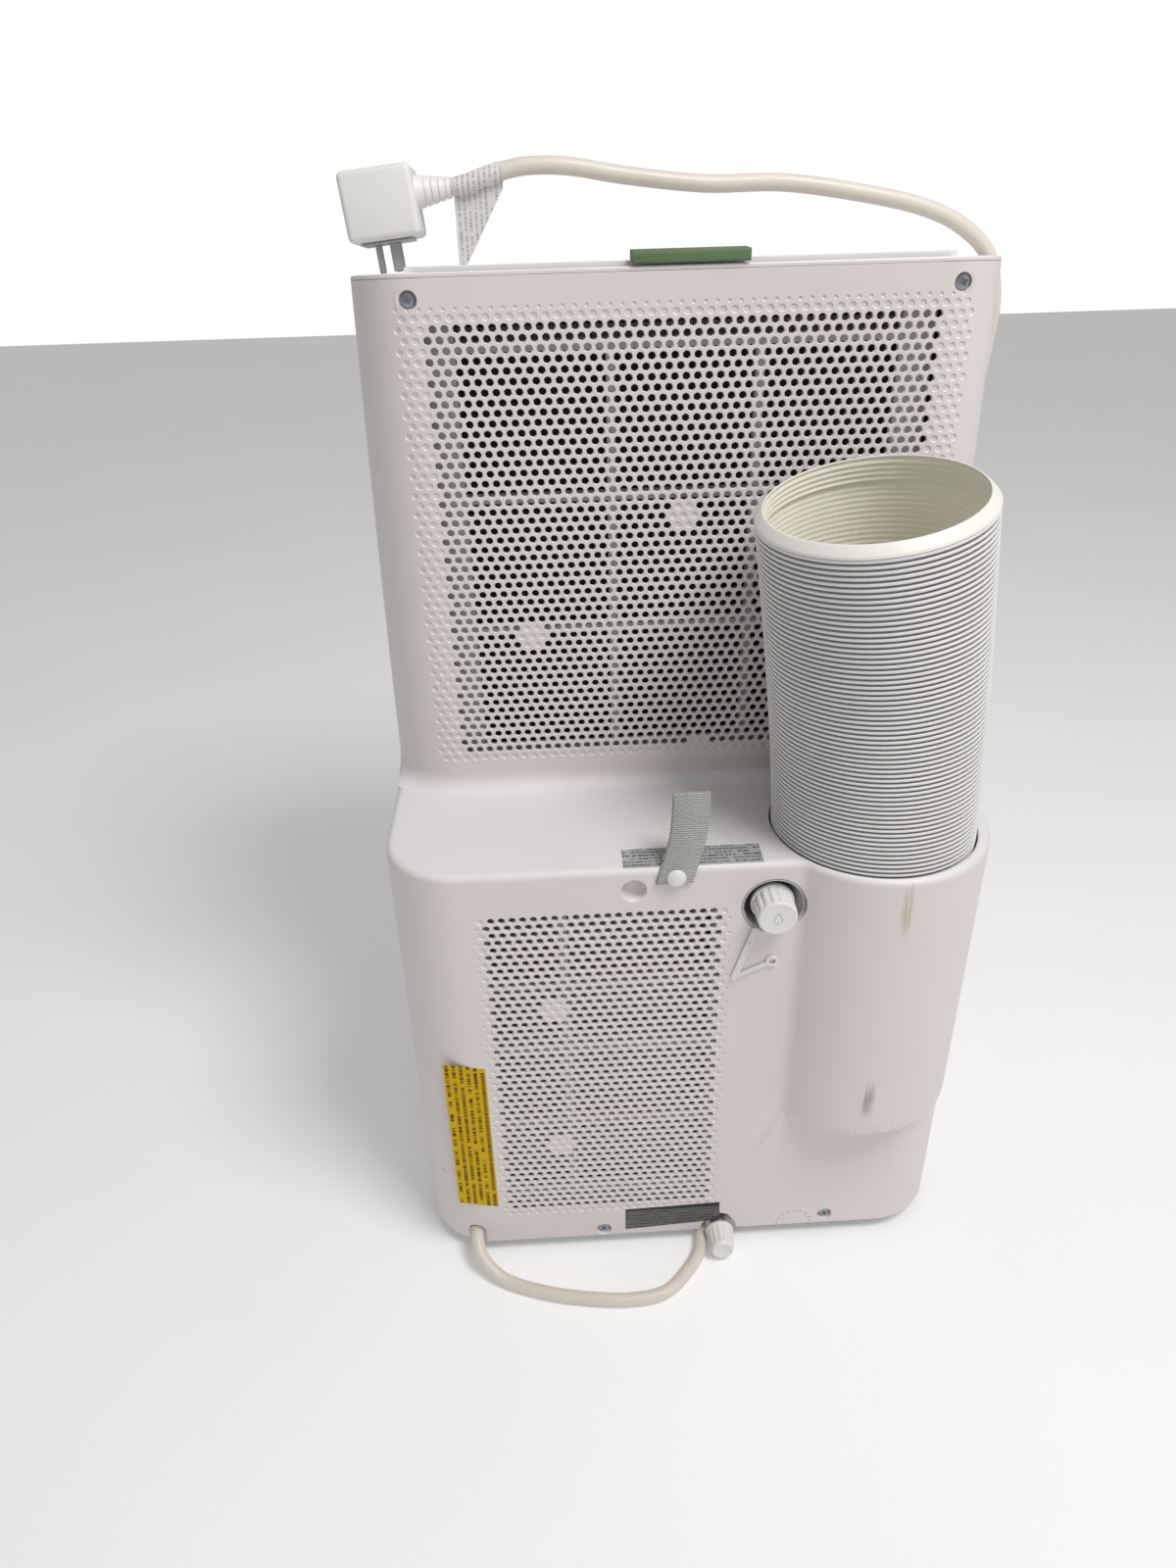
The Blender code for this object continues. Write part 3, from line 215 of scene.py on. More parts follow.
def moulded(name, colour, tint, roughness, grain=0.00002, dirt=0.0):
    """Moulded plastic: a fine spark-eroded grain, slow colour drift, and a little dust."""
    net = Net(name, roughness)
    base = net.mix(net.drift(9.0), colour, tint)
    if dirt:
        specks = net.between(net.noise(140.0, 4.0, roughness=0.7), 0.66, 0.80, 0.0, dirt)
        base = net.mix(specks, base, tuple(c * 0.45 for c in tint))
    net.colour(base)
    net.worn(30.0, roughness - 0.05, roughness + 0.07)
    net.bump(net.noise(2600.0, 2.0), grain)
    return net


def spot(net, centre, size, soft=0.5):
    """A mask that is 1 inside an ellipsoid at a place on the object and fades out round it."""
    move = tuple(-c / s for c, s in zip(centre, size))
    vector = net.stretched(*(1 / s for s in size), move=move)
    node = net.add("ShaderNodeVectorMath", operation="LENGTH")
    net.feed(node.inputs[0], vector)
    return net.between(node.outputs["Value"], 1.0 - soft, 1.0, 1.0, 0.0, smooth=True)


def casing_material():
    """White casing plastic, and it is scuffed. Its upright walls are painted darker and a little pinker than
    the up-facing shelf and top: painted shade on the walls and painted light on the tops, for light that
    falls from above.
    """
    net = Net("casing_plastic", 0.42)
    up = net.axes(net.add("ShaderNodeNewGeometry").outputs["Normal"])[2]
    drift = net.drift(7.0)
    # Painted light and painted shade: up-facing faces take the lighter colour, upright walls the darker,
    # pinker one
    wall = net.mix(drift, (0.735, 0.682, 0.668), (0.715, 0.662, 0.645))
    flat = net.mix(drift, (0.800, 0.785, 0.785), (0.780, 0.765, 0.770))
    base = net.mix(net.between(up, 0.25, 0.9), wall, flat)
    specks = net.between(net.noise(120.0, 5.0, roughness=0.75), 0.68, 0.80, 0.0, 0.22)
    base = net.mix(specks, base, (0.42, 0.36, 0.33))
    streaks = net.noise(60.0, 3.0, net.stretched(6.0, 6.0, 0.35))
    # Scuffs and stains, and a line of painted shade: (centre, size, colour, strength, where the streaks
    # start)
    marks = (
        ((-0.1488, 0.2222, 0.392), (0.0060, 0.012, 0.030), (0.46, 0.34, 0.17), 0.75, 0.36),
        ((-0.1400, 0.2222, 0.200), (0.0080, 0.012, 0.030), (0.26, 0.24, 0.23), 0.75, 0.40),
        # Painted shade along the rounded bottom edge of the bulge, broken up by the streaks; not a stain
        ((-0.1500, 0.2200, 0.165), (0.0500, 0.020, 0.010), (0.45, 0.40, 0.38), 0.30, 0.42),
        ((0.2180, 0.1800, 0.093), (0.0060, 0.020, 0.002), (0.30, 0.26, 0.24), 0.60, 0.20),
    )
    for centre, size, colour, most, low in marks:
        patch = spot(net, centre, size, 0.8)
        mask = net.math("MULTIPLY", patch, net.between(streaks, low, low + 0.2, 0.0, most))
        base = net.mix(mask, base, colour)
    net.colour(base)
    net.worn(24.0, 0.38, 0.50)
    net.bump(net.noise(2300.0, 2.0), 0.000018)
    return net.material


def metal(name, colour, roughness, scale=(1.0, 1.0, 40.0)):
    net = Net(name, roughness, 1.0)
    brushed = net.noise(300.0, 3.0, net.stretched(*scale))
    net.colour(net.mix(brushed, colour, tuple(c * 0.72 for c in colour)))
    net.roughness(net.between(brushed, 0.3, 0.7, roughness - 0.06, roughness + 0.10))
    net.bump(brushed, 0.00001)
    return net.material


def fin_pack(name):
    """Closely stacked aluminium fins, cut across by tube rows, with painted shade in the gaps between the
    fins.
    """
    net = Net(name, 0.4, 1.0)
    x, _, z = net.axes()
    fins = net.wave(x, 0.0016)
    rows = net.between(net.wave(z, 0.0200), 0.75, 0.95)
    # Painted shade: the stripes between the fins are painted dark
    shade = net.between(fins, -1.0, 1.0, 0.0, 1.0)
    net.colour(net.mix(rows, net.mix(shade, (0.20, 0.21, 0.22), (0.66, 0.68, 0.70)), (0.50, 0.28, 0.16)))
    net.bump(fins, 0.0003)
    return net.material


def webbing_material():
    """Grey-green plain-woven webbing: short bright floats of yarn in staggered rows."""
    net = Net("strap_webbing", 0.85, Sheen_Weight=0.25)
    x, y, z = net.axes()
    row = net.math("DIVIDE", net.math("ADD", z, net.math("MULTIPLY", y, -0.6)), 0.00190)
    index = net.math("FLOOR", row)
    shift = net.math("MULTIPLY", net.math("MODULO", index, 2.0), 0.5)
    column = net.math("ADD", net.math("DIVIDE", x, 0.00200), shift)
    across = net.math("SUBTRACT", net.math("FRACT", column), 0.5)
    along = net.math("SUBTRACT", net.math("FRACT", row), 0.5)
    far = net.math("ADD", net.math("MULTIPLY", net.math("POWER", across, 2.0), 3.6),
                   net.math("MULTIPLY", net.math("POWER", along, 2.0), 5.0))
    float_yarn = net.between(far, 0.0, 1.0, 1.0, 0.0)
    fuzz = net.noise(1800.0, 2.0)
    base = net.mix(float_yarn, (0.240, 0.255, 0.220), (0.800, 0.820, 0.750))
    net.colour(net.mix(net.between(fuzz, 0.3, 0.8, 0.0, 0.20), base, (0.78, 0.80, 0.74)))
    net.bump(net.math("ADD", float_yarn, net.math("MULTIPLY", fuzz, 0.3)), 0.0009)
    return net.material


def screen_material():
    """The fine black screen of the air filter, woven from plastic thread."""
    net = Net("filter_screen", 0.6)
    x, _, z = net.axes()
    threads = [net.math("ABSOLUTE", net.wave(a, 0.0022)) for a in (x, z)]
    weave = net.math("MINIMUM", *threads)
    net.colour(net.mix(net.between(weave, 0.1, 0.6), (0.012, 0.012, 0.013), (0.002, 0.002, 0.002)))
    net.bump(weave, 0.0002)
    return net.material


def printed(name, ground, ink, rows, across, along, low, high, header=None, fade=0.45, gloss=0.5):
    """A sticker with rows of small dashes where the print would be. It holds no lettering.

    The rows lie between low and high on the axis "across", and their dashes run along the axis "along".
    """
    net = Net(name, 0.45, Specular_IOR_Level=gloss)
    axes = dict(zip("xyz", net.axes()))
    v = net.math("DIVIDE", net.math("SUBTRACT", axes[across], low), (high - low) / rows)
    row = net.math("FLOOR", v)
    inside = net.math("ABSOLUTE", net.math("SUBTRACT", net.math("FRACT", v), 0.5))
    band = net.between(inside, 0.20, 0.30, 1.0, 0.0)
    spell = net.add("ShaderNodeCombineXYZ")
    net.feed(spell.inputs[0], net.math("MULTIPLY", axes[along], 1150.0))
    net.feed(spell.inputs[1], net.math("MULTIPLY", row, 13.7))
    letters = net.between(net.noise(1.0, 1.0, spell.outputs[0]), 0.40, 0.52)
    words = net.add("ShaderNodeCombineXYZ")
    net.feed(words.inputs[0], net.math("MULTIPLY", axes[along], 130.0))
    net.feed(words.inputs[1], net.math("MULTIPLY", row, 5.3))
    gaps = net.between(net.noise(1.0, 0.0, words.outputs[0]), 0.33, 0.38)
    print_mask = net.math("MULTIPLY", net.math("MULTIPLY", band, letters), gaps)
    base = net.mix(net.math("MULTIPLY", print_mask, 1.0 - fade), ground, ink)
    if header:
        base = net.mix(net.between(axes[across], header, header + 0.0002), base, ink)
    net.colour(base)
    net.bump(net.noise(500.0, 2.0), 0.00001)
    return net.material


def ribbed_green():
    net = moulded("tab_green", (0.130, 0.205, 0.098), (0.118, 0.188, 0.090), 0.60)
    x, _, z = net.axes()
    lines = net.math("MULTIPLY", net.wave(z, 0.0011), 0.6)
    net.bump(net.math("ADD", net.wave(x, 0.0012), lines), 0.00012)
    return net.material


def vinyl():
    """Cream vinyl sheath, drawn lengthwise, with handling marks."""
    net = Net("cord_vinyl", 0.42)
    base = net.mix(net.drift(14.0), (0.730, 0.680, 0.600), (0.700, 0.645, 0.560))
    grime = net.between(net.noise(70.0, 5.0, roughness=0.7), 0.60, 0.78, 0.0, 0.40)
    net.colour(net.mix(grime, base, (0.33, 0.28, 0.20)))
    net.worn(40.0, 0.34, 0.50)
    net.bump(net.noise(420.0, 3.0), 0.00007)
    return net.material


def hose_material(name, band, aged_and_lit_inside):
    """Thin off-white plastic, yellowed to cream inside with age. For the hose the inside is also painted
    lighter than the outside: painted light, for light that comes through the thin wall.
    """
    net = Net(name, 0.46)
    geometry = net.add("ShaderNodeNewGeometry")
    axis = net.add("ShaderNodeCombineXYZ")
    x, y, _ = net.axes()
    net.feed(axis.inputs[0], net.math("SUBTRACT", x, HOSE_X + CUFF_LEAN_X * 0.5))
    net.feed(axis.inputs[1], net.math("SUBTRACT", y, HOSE_Y + CUFF_LEAN_Y * 0.5))
    facing = net.add("ShaderNodeVectorMath", operation="DOT_PRODUCT")
    net.feed(facing.inputs[0], geometry.outputs["Normal"])
    net.feed(facing.inputs[1], axis.outputs[0])
    inside = net.between(facing.outputs["Value"], -0.01, 0.01, 1.0, 0.0)
    drift = net.drift(11.0)
    outer = net.mix(drift, band, tuple(c * 0.95 for c in band))
    # The inside colour: cream plastic, and for the hose painted light as well
    cream = net.mix(drift, aged_and_lit_inside, tuple(c * 0.96 for c in aged_and_lit_inside))
    base = net.mix(inside, outer, cream)
    grime = net.between(net.noise(45.0, 5.0, net.stretched(1, 1, 0.4), 0.7), 0.60, 0.78, 0.0, 0.25)
    net.colour(net.mix(grime, base, tuple(c * 0.6 for c in aged_and_lit_inside)))
    net.bump(net.noise(1500.0, 2.0), 0.00002)
    return net.material


def make_materials():
    # name, two tints, roughness, then grain and dirt where they differ from the usual
    plain = {
        "white": ("white_trim", (0.80, 0.785, 0.765), (0.775, 0.76, 0.745), 0.40, 0.00002, 0.10),
        "tether": ("soft_white", (0.78, 0.765, 0.745), (0.74, 0.73, 0.70), 0.55, 0.00002, 0.10),
        "grey": ("grey_moulding", (0.50, 0.50, 0.50), (0.46, 0.46, 0.46), 0.5, 0.00002, 0.15),
        # Painted shade: near-black for the deep inside of the drain recess
        "recess": ("recess_painted_shade", (0.085, 0.085, 0.088), (0.065, 0.065, 0.068), 0.6),
        "filter": ("filter_plastic", (0.850, 0.850, 0.850), (0.820, 0.820, 0.825), 0.5),
        "pale_grey": ("well_grey", (0.42, 0.42, 0.425), (0.38, 0.38, 0.385), 0.5),
        "dark": ("dark_moulding", (0.028, 0.028, 0.030), (0.020, 0.020, 0.022), 0.38),
        "tyre": ("tyre_rubber", (0.035, 0.035, 0.035), (0.060, 0.058, 0.055), 0.62, 0.00006, 0.4),
        "red": ("red_button", (0.45, 0.030, 0.022), (0.38, 0.026, 0.020), 0.38),
        "glass": ("display_film", (0.010, 0.010, 0.012), (0.014, 0.014, 0.017), 0.08, 0.000002),
    }
    return {
        **{look: moulded(*values).material for look, values in plain.items()},
        "casing": casing_material(),
        # Inside painted lighter than outside: painted light for light through the thin wall
        "hose": hose_material("hose_plastic", (0.810, 0.795, 0.780), (0.930, 0.910, 0.800)),
        # Painted shade: dark grey for the outer grooves of the corrugations
        "groove": hose_material("hose_groove_shade", (0.420, 0.410, 0.410), (0.900, 0.870, 0.750)),
        "ring": hose_material("ring_plastic", (0.880, 0.865, 0.800), (0.870, 0.850, 0.750)),
        "steel": metal("sheet_steel", (0.52, 0.53, 0.55), 0.35),
        "zinc": metal("zinc_plate", (0.40, 0.42, 0.45), 0.30, (1.0, 40.0, 1.0)),
        "fins": fin_pack("coil_fins"),
        "vinyl": vinyl(),
        "green": ribbed_green(),
        "webbing": webbing_material(),
        "screen": screen_material(),
        "yellow": printed("yellow_sticker", (0.620, 0.395, 0.002), (0.060, 0.022, 0.008), 6, "x", "z",
                          0.1695, 0.2040, fade=0.08, gloss=0.12),
        "shelf_label": printed("shelf_sticker", (0.430, 0.435, 0.440), (0.030, 0.032, 0.036), 5, "y", "x",
                               0.1655, 0.1865, fade=0.15),
        "lower_label": printed("lower_sticker", (0.120, 0.116, 0.116), (0.008, 0.008, 0.010), 7, "z", "x",
                               0.0215, 0.0480, header=0.0448, fade=0.15),
        "tag": printed("cord_tag_film", (0.74, 0.725, 0.705), (0.34, 0.30, 0.30), 9, "x", "z", 0.118, 0.152,
                       fade=0.35),
    }


# ---------------------------------------------------------------- mesh helpers

def placed(name, data):
    """A new object in the scene."""
    made = bpy.data.objects.new(name, data)
    bpy.context.scene.collection.objects.link(made)
    return made


def mesh_object(name, bm, look, sharp=35, close=True):
    if close:
        bmesh.ops.recalc_face_normals(bm, faces=bm.faces)
    mesh = bpy.data.meshes.new(name)
    bm.to_mesh(mesh)
    bm.free()
    mesh.shade_smooth()
    mesh.set_sharp_from_angle(angle=math.radians(sharp))
    mesh.materials.append(MATERIALS[look])
    return placed(name, mesh)


def settle(made, slot, body, *nodes):
    """Hides the CAD nodes that the piece stands for and attaches it to the body that it moves with. The slot,
    the piece's finish, is not used.
    """
    if nodes:
        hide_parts(*nodes)
    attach(made, body)
    return made


def loft(loops, capped=True):
    bm = bmesh.new()
    rings = [[bm.verts.new(point) for point in loop] for loop in loops]
    count = len(rings[0])
    pairs = list(zip(rings, rings[1:])) + ([] if capped else [(rings[-1], rings[0])])
    for low, high in pairs:
        for i in range(count):
            bm.faces.new((low[i], low[(i + 1) % count], high[(i + 1) % count], high[i]))
    if capped:
        bm.faces.new(rings[0][::-1])
        bm.faces.new(rings[-1])
    return bm


def box(x0, x1, y0, y1, z0, z1, soft=0.0, segments=3):
    bm = loft([[(x0, y0, z), (x1, y0, z), (x1, y1, z), (x0, y1, z)] for z in (z0, z1)])
    if soft:
        bmesh.ops.bevel(bm, geom=bm.edges[:], offset=soft, segments=segments, profile=0.5, affect="EDGES")
    return bm


def moved(bm, matrix):
    bmesh.ops.transform(bm, matrix=matrix, verts=bm.verts)
    return bm


def merged(*parts):
    """Several closed shapes in one mesh."""
    whole = bmesh.new()
    for part in parts:
        bmesh.ops.recalc_face_normals(part, faces=part.faces)
        mesh = bpy.data.meshes.new("part")
        part.to_mesh(mesh)
        part.free()
        whole.from_mesh(mesh)
        bpy.data.meshes.remove(mesh)
    return whole


def ring_basis(axis):
    axis = Vector(axis).normalized()
    side = axis.orthogonal().normalized()
    return axis, side, axis.cross(side)


def circle(centre, side, up, radius, sides):
    turn = [math.tau * i / sides for i in range(sides)]
    return [centre + radius * (math.cos(a) * side + math.sin(a) * up) for a in turn]


def rod(start, end, r_start, r_end=None, sides=32):
    r_end = r_start if r_end is None else r_end
    start, end = Vector(start), Vector(end)
    _, side, up = ring_basis(end - start)
    return loft([circle(start, side, up, r_start, sides), circle(end, side, up, r_end, sides)])


def turned(profile, centre, axis, sides=48, ripple=None):
    """A solid of revolution through (radius, height) points.

    ripple(angle, height) moves its side in or out.
    """
    axis, side, up = ring_basis(axis)
    centre = Vector(centre)
    bm = bmesh.new()
    rings = []
    for radius, height in profile:
        middle = centre + height * axis
        if radius == 0:
            rings.append([bm.verts.new(middle)])
            continue
        ring = []
        for i in range(sides):
            a = math.tau * i / sides
            r = radius + (ripple(a, height) if ripple else 0.0)
            ring.append(bm.verts.new(middle + r * (math.cos(a) * side + math.sin(a) * up)))
        rings.append(ring)
    hollow = all(radius > 0 for radius, _ in profile)
    for low, high in list(zip(rings, rings[1:])) + ([(rings[-1], rings[0])] if hollow else []):
        for i in range(sides):
            j = (i + 1) % sides
            corners = [low[i % len(low)], low[j % len(low)], high[j % len(high)], high[i % len(high)]]
            bm.faces.new(list(dict.fromkeys(corners)))
    return bm


def prism(outline, low, high, axis="Y"):
    place = {
        "X": lambda u, v, w: (w, u, v),
        "Y": lambda u, v, w: (u, w, v),
        "Z": lambda u, v, w: (u, v, w),
    }[axis]
    return loft([[place(u, v, w) for u, v in outline] for w in (low, high)])


def soften(bm, size):
    """Rounds the edges that turn by more than 40 degrees."""
    bmesh.ops.recalc_face_normals(bm, faces=bm.faces)
    edges = [e for e in bm.edges if e.is_manifold and e.calc_face_angle(0) > math.radians(40)]
    bmesh.ops.bevel(bm, geom=edges, offset=size, segments=2, profile=0.5, affect="EDGES")
    return bm


def combine(target, bm, operation):
    """Cuts or joins a closed shape, and gives the result its look and sharp edges again."""
    tool = mesh_object("tool", bm, "white")
    step = target.modifiers.new("step", "BOOLEAN")
    step.operation = operation
    step.object = tool
    step.solver = "EXACT"
    bpy.context.view_layer.update()
    graph = bpy.context.evaluated_depsgraph_get()
    made = bpy.data.meshes.new_from_object(target.evaluated_get(graph))
    target.modifiers.remove(step)
    old = target.data
    target.data = made
    bpy.data.meshes.remove(old)
    bpy.data.objects.remove(tool, do_unlink=True)
    made.materials.clear()
    made.materials.append(MATERIALS[target["look"]])
    made.shade_smooth()
    made.set_sharp_from_angle(angle=math.radians(35))
    return target


def solid(name, bm, look):
    """A piece that shapes can be cut from or joined to."""
    made = mesh_object(name, bm, look)
    made["look"] = look
    return made


def join(target, bm):
    return combine(target, bm, "UNION")


def cut(target, bm):
    return combine(target, bm, "DIFFERENCE")


def even_normals(made, normal_at):
    """Shades the big curved walls by their true surface, so cuts in them leave no facets."""
    mesh = made.data
    normals = [corner.vector.copy() for corner in mesh.corner_normals]
    for face in mesh.polygons:
        for loop in face.loop_indices:
            ideal = normal_at(mesh.vertices[mesh.loops[loop].vertex_index].co)
            if ideal is not None and face.normal.dot(ideal) > 0.975:
                normals[loop] = ideal
    mesh.normals_split_custom_set(normals)


# ---------------------------------------------------------------- outlines of the casing, seen from above

def half_width(z):
    return HALF_WIDTH - SIDE_DRAFT * max(0.0, (z - SHELF_Z) / (TOP_Z - SHELF_Z)) ** 1.5


def top_plane(y):
    return TOP_Z + (y - TOWER_REAR) * math.tan(TOP_SLOPE)


def arc(cx, cy, radius, start, end, steps):
    turn = [math.radians(start + (end - start) * i / steps) for i in range(steps + 1)]
    return [(cx + radius * math.cos(a), cy + radius * math.sin(a)) for a in turn]


def rear_outline(arcs, inset, open_y):
    points = [(HALF_WIDTH - inset, open_y)]
    for cx, cy, radius, start, end, steps in arcs:
        size = radius - inset if radius > 0 else -radius + inset
        points += arc(cx, cy, size, start, end, steps)
    return points + [(-HALF_WIDTH + inset, open_y)]


# Arc lengths from the middle of the columns where the tower's wall begins to turn
TOWER_STATIONS = (0.1790, 0.1820, 0.1860, 0.1900, 0.1940, 0.1980, 0.2020)


def tower_place(s, z, depth=0.0):
    """A point of the tower's rear wall, from its arc length from the middle, height and depth."""
    side = math.copysign(1.0, s)
    radius = half_width(z) - FLAT_HALF
    turn = max(0.0, abs(s) - FLAT_HALF) / radius
    x = min(abs(s), FLAT_HALF) + (radius - depth) * math.sin(turn)
    return Vector((side * x, TOWER_REAR - radius + (radius - depth) * math.cos(turn), z))


def tower_outline(z, inset=0.0, open_y=SEAM_Y, limit=None):
    """The stations near the flat match the grille's own columns, so that the two meet without a gap."""
    half = half_width(z)
    radius = half - FLAT_HALF
    near = [math.degrees((s - FLAT_HALF) / radius) for s in TOWER_STATIONS]
    turns = near + [near[-1] + (90 - near[-1]) * i / 14 for i in range(1, 15)]
    right = []
    for turn in turns:
        a = math.radians(90 - turn)
        right.append((FLAT_HALF + (radius - inset) * math.cos(a),
                      TOWER_REAR - radius + (radius - inset) * math.sin(a)))
    points = [(half - inset, open_y)] + right[::-1] + [(-x, y) for x, y in right] + [(-half + inset, open_y)]
    if limit:
        points = [(max(-limit, min(limit, x)), y) for x, y in points]
    return points


def lower_outline(inset=0.0, open_y=SEAM_Y):
    middle = HALF_WIDTH - LOWER_CORNER
    arcs = (
        (middle, LOWER_REAR - LOWER_CORNER, LOWER_CORNER, 0, 90, 24),
        (-middle, LOWER_REAR - LOWER_CORNER, LOWER_CORNER, 90, 180, 24),
    )
    return rear_outline(arcs, inset, open_y)


def bulge_arcs():
    middle = HALF_WIDTH - LOWER_CORNER
    blend = 0.012
    rise = LOWER_REAR + blend - BULGE_Y
    reach = BULGE_R + blend
    blend_x = BULGE_X + math.sqrt(reach**2 - rise**2)
    meet = math.degrees(math.atan2(rise, blend_x - BULGE_X))
    side_r = 0.110
    side_x = side_r - HALF_WIDTH
    offset = side_r - BULGE_R
    side_y = BULGE_Y - math.sqrt(offset**2 - (side_x - BULGE_X) ** 2)
    leave = math.degrees(math.atan2(BULGE_Y - side_y, BULGE_X - side_x))
    return (
        (middle, LOWER_REAR - LOWER_CORNER, LOWER_CORNER, 0, 90, 24),
        (blend_x, LOWER_REAR + blend, -blend, -90, meet - 180, 8),
        (BULGE_X, BULGE_Y, BULGE_R, meet, leave, 30),
        (side_x, side_y, side_r, leave, 180, 14),
    )


def bulge_outline(inset=0.0):
    return rear_outline(bulge_arcs(), inset, SEAM_Y)


def front_outline(z, inset=0.0, open_y=SEAM_Y):
    half = half_width(z)
    corner = FRONT_CORNER
    points = [(-half + inset, open_y)]
    points += arc(-half + corner, FRONT_Y + corner, corner - inset, 180, 270, 18)
    points += arc(half - corner, FRONT_Y + corner, corner - inset, 270, 360, 18)
    return points + [(half - inset, open_y)]


def level(outline, z):
    return [(x, y, z) for x, y in outline]


def on_slope(outline, below):
    return [(x, y, top_plane(y) - below) for x, y in outline]


def rounding(radius, steps):
    turn = [math.pi / 2 * i / steps for i in range(steps + 1)]
    return [(radius * (1 - math.cos(a)), radius * (1 - math.sin(a))) for a in turn]


TOWER_LEVELS = (0.50, 0.56, 0.62, 0.68, 0.74)


def wall_normal(point):
    """The casing's outward direction at a point of its upright walls."""
    x, y, z = point
    side = math.copysign(1.0, x)
    if z > SHELF_Z + SHELF_FILLET + 0.001:
        radius = half_width(z) - FLAT_HALF
        if y < TOWER_REAR - radius - 0.0005:
            return None if y < -0.0001 else Vector((side, 0.0, 0.02)).normalized()
        if abs(x) <= FLAT_HALF:
            return Vector((0.0, 1.0, 0.0))
        return Vector((x - side * FLAT_HALF, y - TOWER_REAR + radius, 0.0)).normalized()
    if z > SHELF_Z - SHELF_ROUND - 0.0005:
        return None
    middle = HALF_WIDTH - LOWER_CORNER
    if side > 0 or z < BULGE_BOTTOM:
        if y < LOWER_REAR - LOWER_CORNER - 0.0005:
            return Vector((side, 0.0, 0.0))
        if abs(x) <= middle:
            return Vector((0.0, 1.0, 0.0)) if y < LOWER_REAR + 0.0005 else None
        return Vector((x - side * middle, y - LOWER_REAR + LOWER_CORNER, 0.0)).normalized()
    if z < BULGE_BOTTOM + BULGE_ROUND + 0.0005:
        return None
    for cx, cy, radius, start, end, _ in bulge_arcs():
        turn = math.degrees(math.atan2(y - cy, x - cx)) % 360
        low, high = sorted((start % 360, end % 360))
        away = math.hypot(x - cx, y - cy)
        if low - 0.1 <= turn <= high + 0.1 and abs(away - abs(radius)) < 0.0004:
            return Vector(((x - cx) / radius, (y - cy) / radius, 0.0)).normalized()
    return None


# ---------------------------------------------------------------- perforated intakes

def perforated(name, place, left, right, rows, z_of, cells, kind_of, look):
    """A plate of brick-shaped cells, each with a chamfered hole, a blind dimple or nothing.

    place(s, z, depth) gives the point; kind_of(row, s) gives "hole", "dimple", "small" or "plain".
    """
    half = PITCH / 2
    points, faces, corners = [], [], {}

    def vertex(s, z, depth):
        points.append(place(s, z, depth))
        return len(points) - 1

    def corner(s, line, depth):
        key = (round(s / half * 4), line, depth)
        if key not in corners:
            corners[key] = vertex(s, z_of(line - 0.5), depth)
        return corners[key]

    # Radius of the rim, radius of the floor or bore, and depth of the chamfer or dimple
    sizes = {"hole": (RIM_R, HOLE_R, 0.00045), "dimple": (0.00270, 0.00205, 0.00085),
             "small": (0.00170, 0.00110, 0.00065)}
    for row in rows:
        z = z_of(row)
        edges = sorted({round(c - half, 6) for r, c in cells if r == row} | {left, right}
                       | {round(c + half, 6) for r, c in cells if r == row})
        edges = [left] + [s for s in edges if left + 0.0008 < s < right - 0.0008] + [right]
        for low, high in zip(edges, edges[1:]):
            middle = (low + high) / 2
            whole = any(r == row and abs(c - middle) < 0.0005 for r, c in cells)
            kind = kind_of(row, middle) if whole else "plain"
            # Corners run: right low, right high, top, left high, left low, bottom
            wide = high - low > 1.5 * half
            stations = [high, high, middle, low, low, middle] if wide else [high, high, low, low]
            lines = [row + 1, row, row, row, row + 1, row + 1] if wide else [row + 1, row, row, row + 1]
            front = [corner(s, line, 0.0) for s, line in zip(stations, lines)]
            back = [corner(s, line, PLATE) for s, line in zip(stations, lines)]
            if kind == "plain":
                faces.append(front)
                faces.append(back[::-1])
                continue
            rim_r, hole_r, sink = sizes[kind]

            def ring(radius, depth, skip=1):
                turns = [math.radians(15 + 30 * k) for k in range(0, 12, skip)]
                return [vertex(middle + radius * math.cos(a), z + radius * math.sin(a), depth) for a in turns]

            b = front
            rim = ring(rim_r, 0.0)
            faces += [
                [b[0], b[1], rim[1], rim[0], rim[11], rim[10]], [b[1], b[2], rim[2], rim[1]],
                [b[2], rim[3], rim[2]], [b[2], b[3], rim[4], rim[3]],
                [b[3], b[4], rim[7], rim[6], rim[5], rim[4]], [b[4], b[5], rim[8], rim[7]],
                [b[5], rim[9], rim[8]], [b[5], b[0], rim[10], rim[9]],
            ]
            sunk = ring(hole_r, sink)
            faces += [[rim[k], rim[(k + 1) % 12], sunk[(k + 1) % 12], sunk[k]] for k in range(12)]
            if kind != "hole":
                faces.append(sunk)
                faces.append(back[::-1])
                continue
            rear = ring(HOLE_R, PLATE, skip=2)
            for k in range(6):
                n = (k + 1) % 6
                faces.append([sunk[2 * k], sunk[2 * k + 1], sunk[(2 * k + 2) % 12], rear[n], rear[k]])
                faces.append([back[k], back[n], rear[n - 1], rear[k - 1]])
    # The plate's own edges
    rims = []
    for line in (rows[0], rows[-1] + 1):
        along = sorted({s for s, l, d in corners if l == line and d == 0.0})
        rims += [((a, line), (b, line)) for a, b in zip(along, along[1:])]
    for end in (left, right):
        key = round(end / half * 4)
        rims += [((key, row), (key, row + 1)) for row in rows]
    for a, b in rims:
        faces.append([corners[(*a, 0.0)], corners[(*b, 0.0)], corners[(*b, PLATE)], corners[(*a, PLATE)]])
    mesh = bpy.data.meshes.new(name)
    mesh.from_pydata(points, [], faces)
    bm = bmesh.new()
    bm.from_mesh(mesh)
    bpy.data.meshes.remove(mesh)
    return mesh_object(name, bm, look, sharp=30)


UPPER_ROWS = range(-11, 38)
UPPER_EDGE = 0.2020
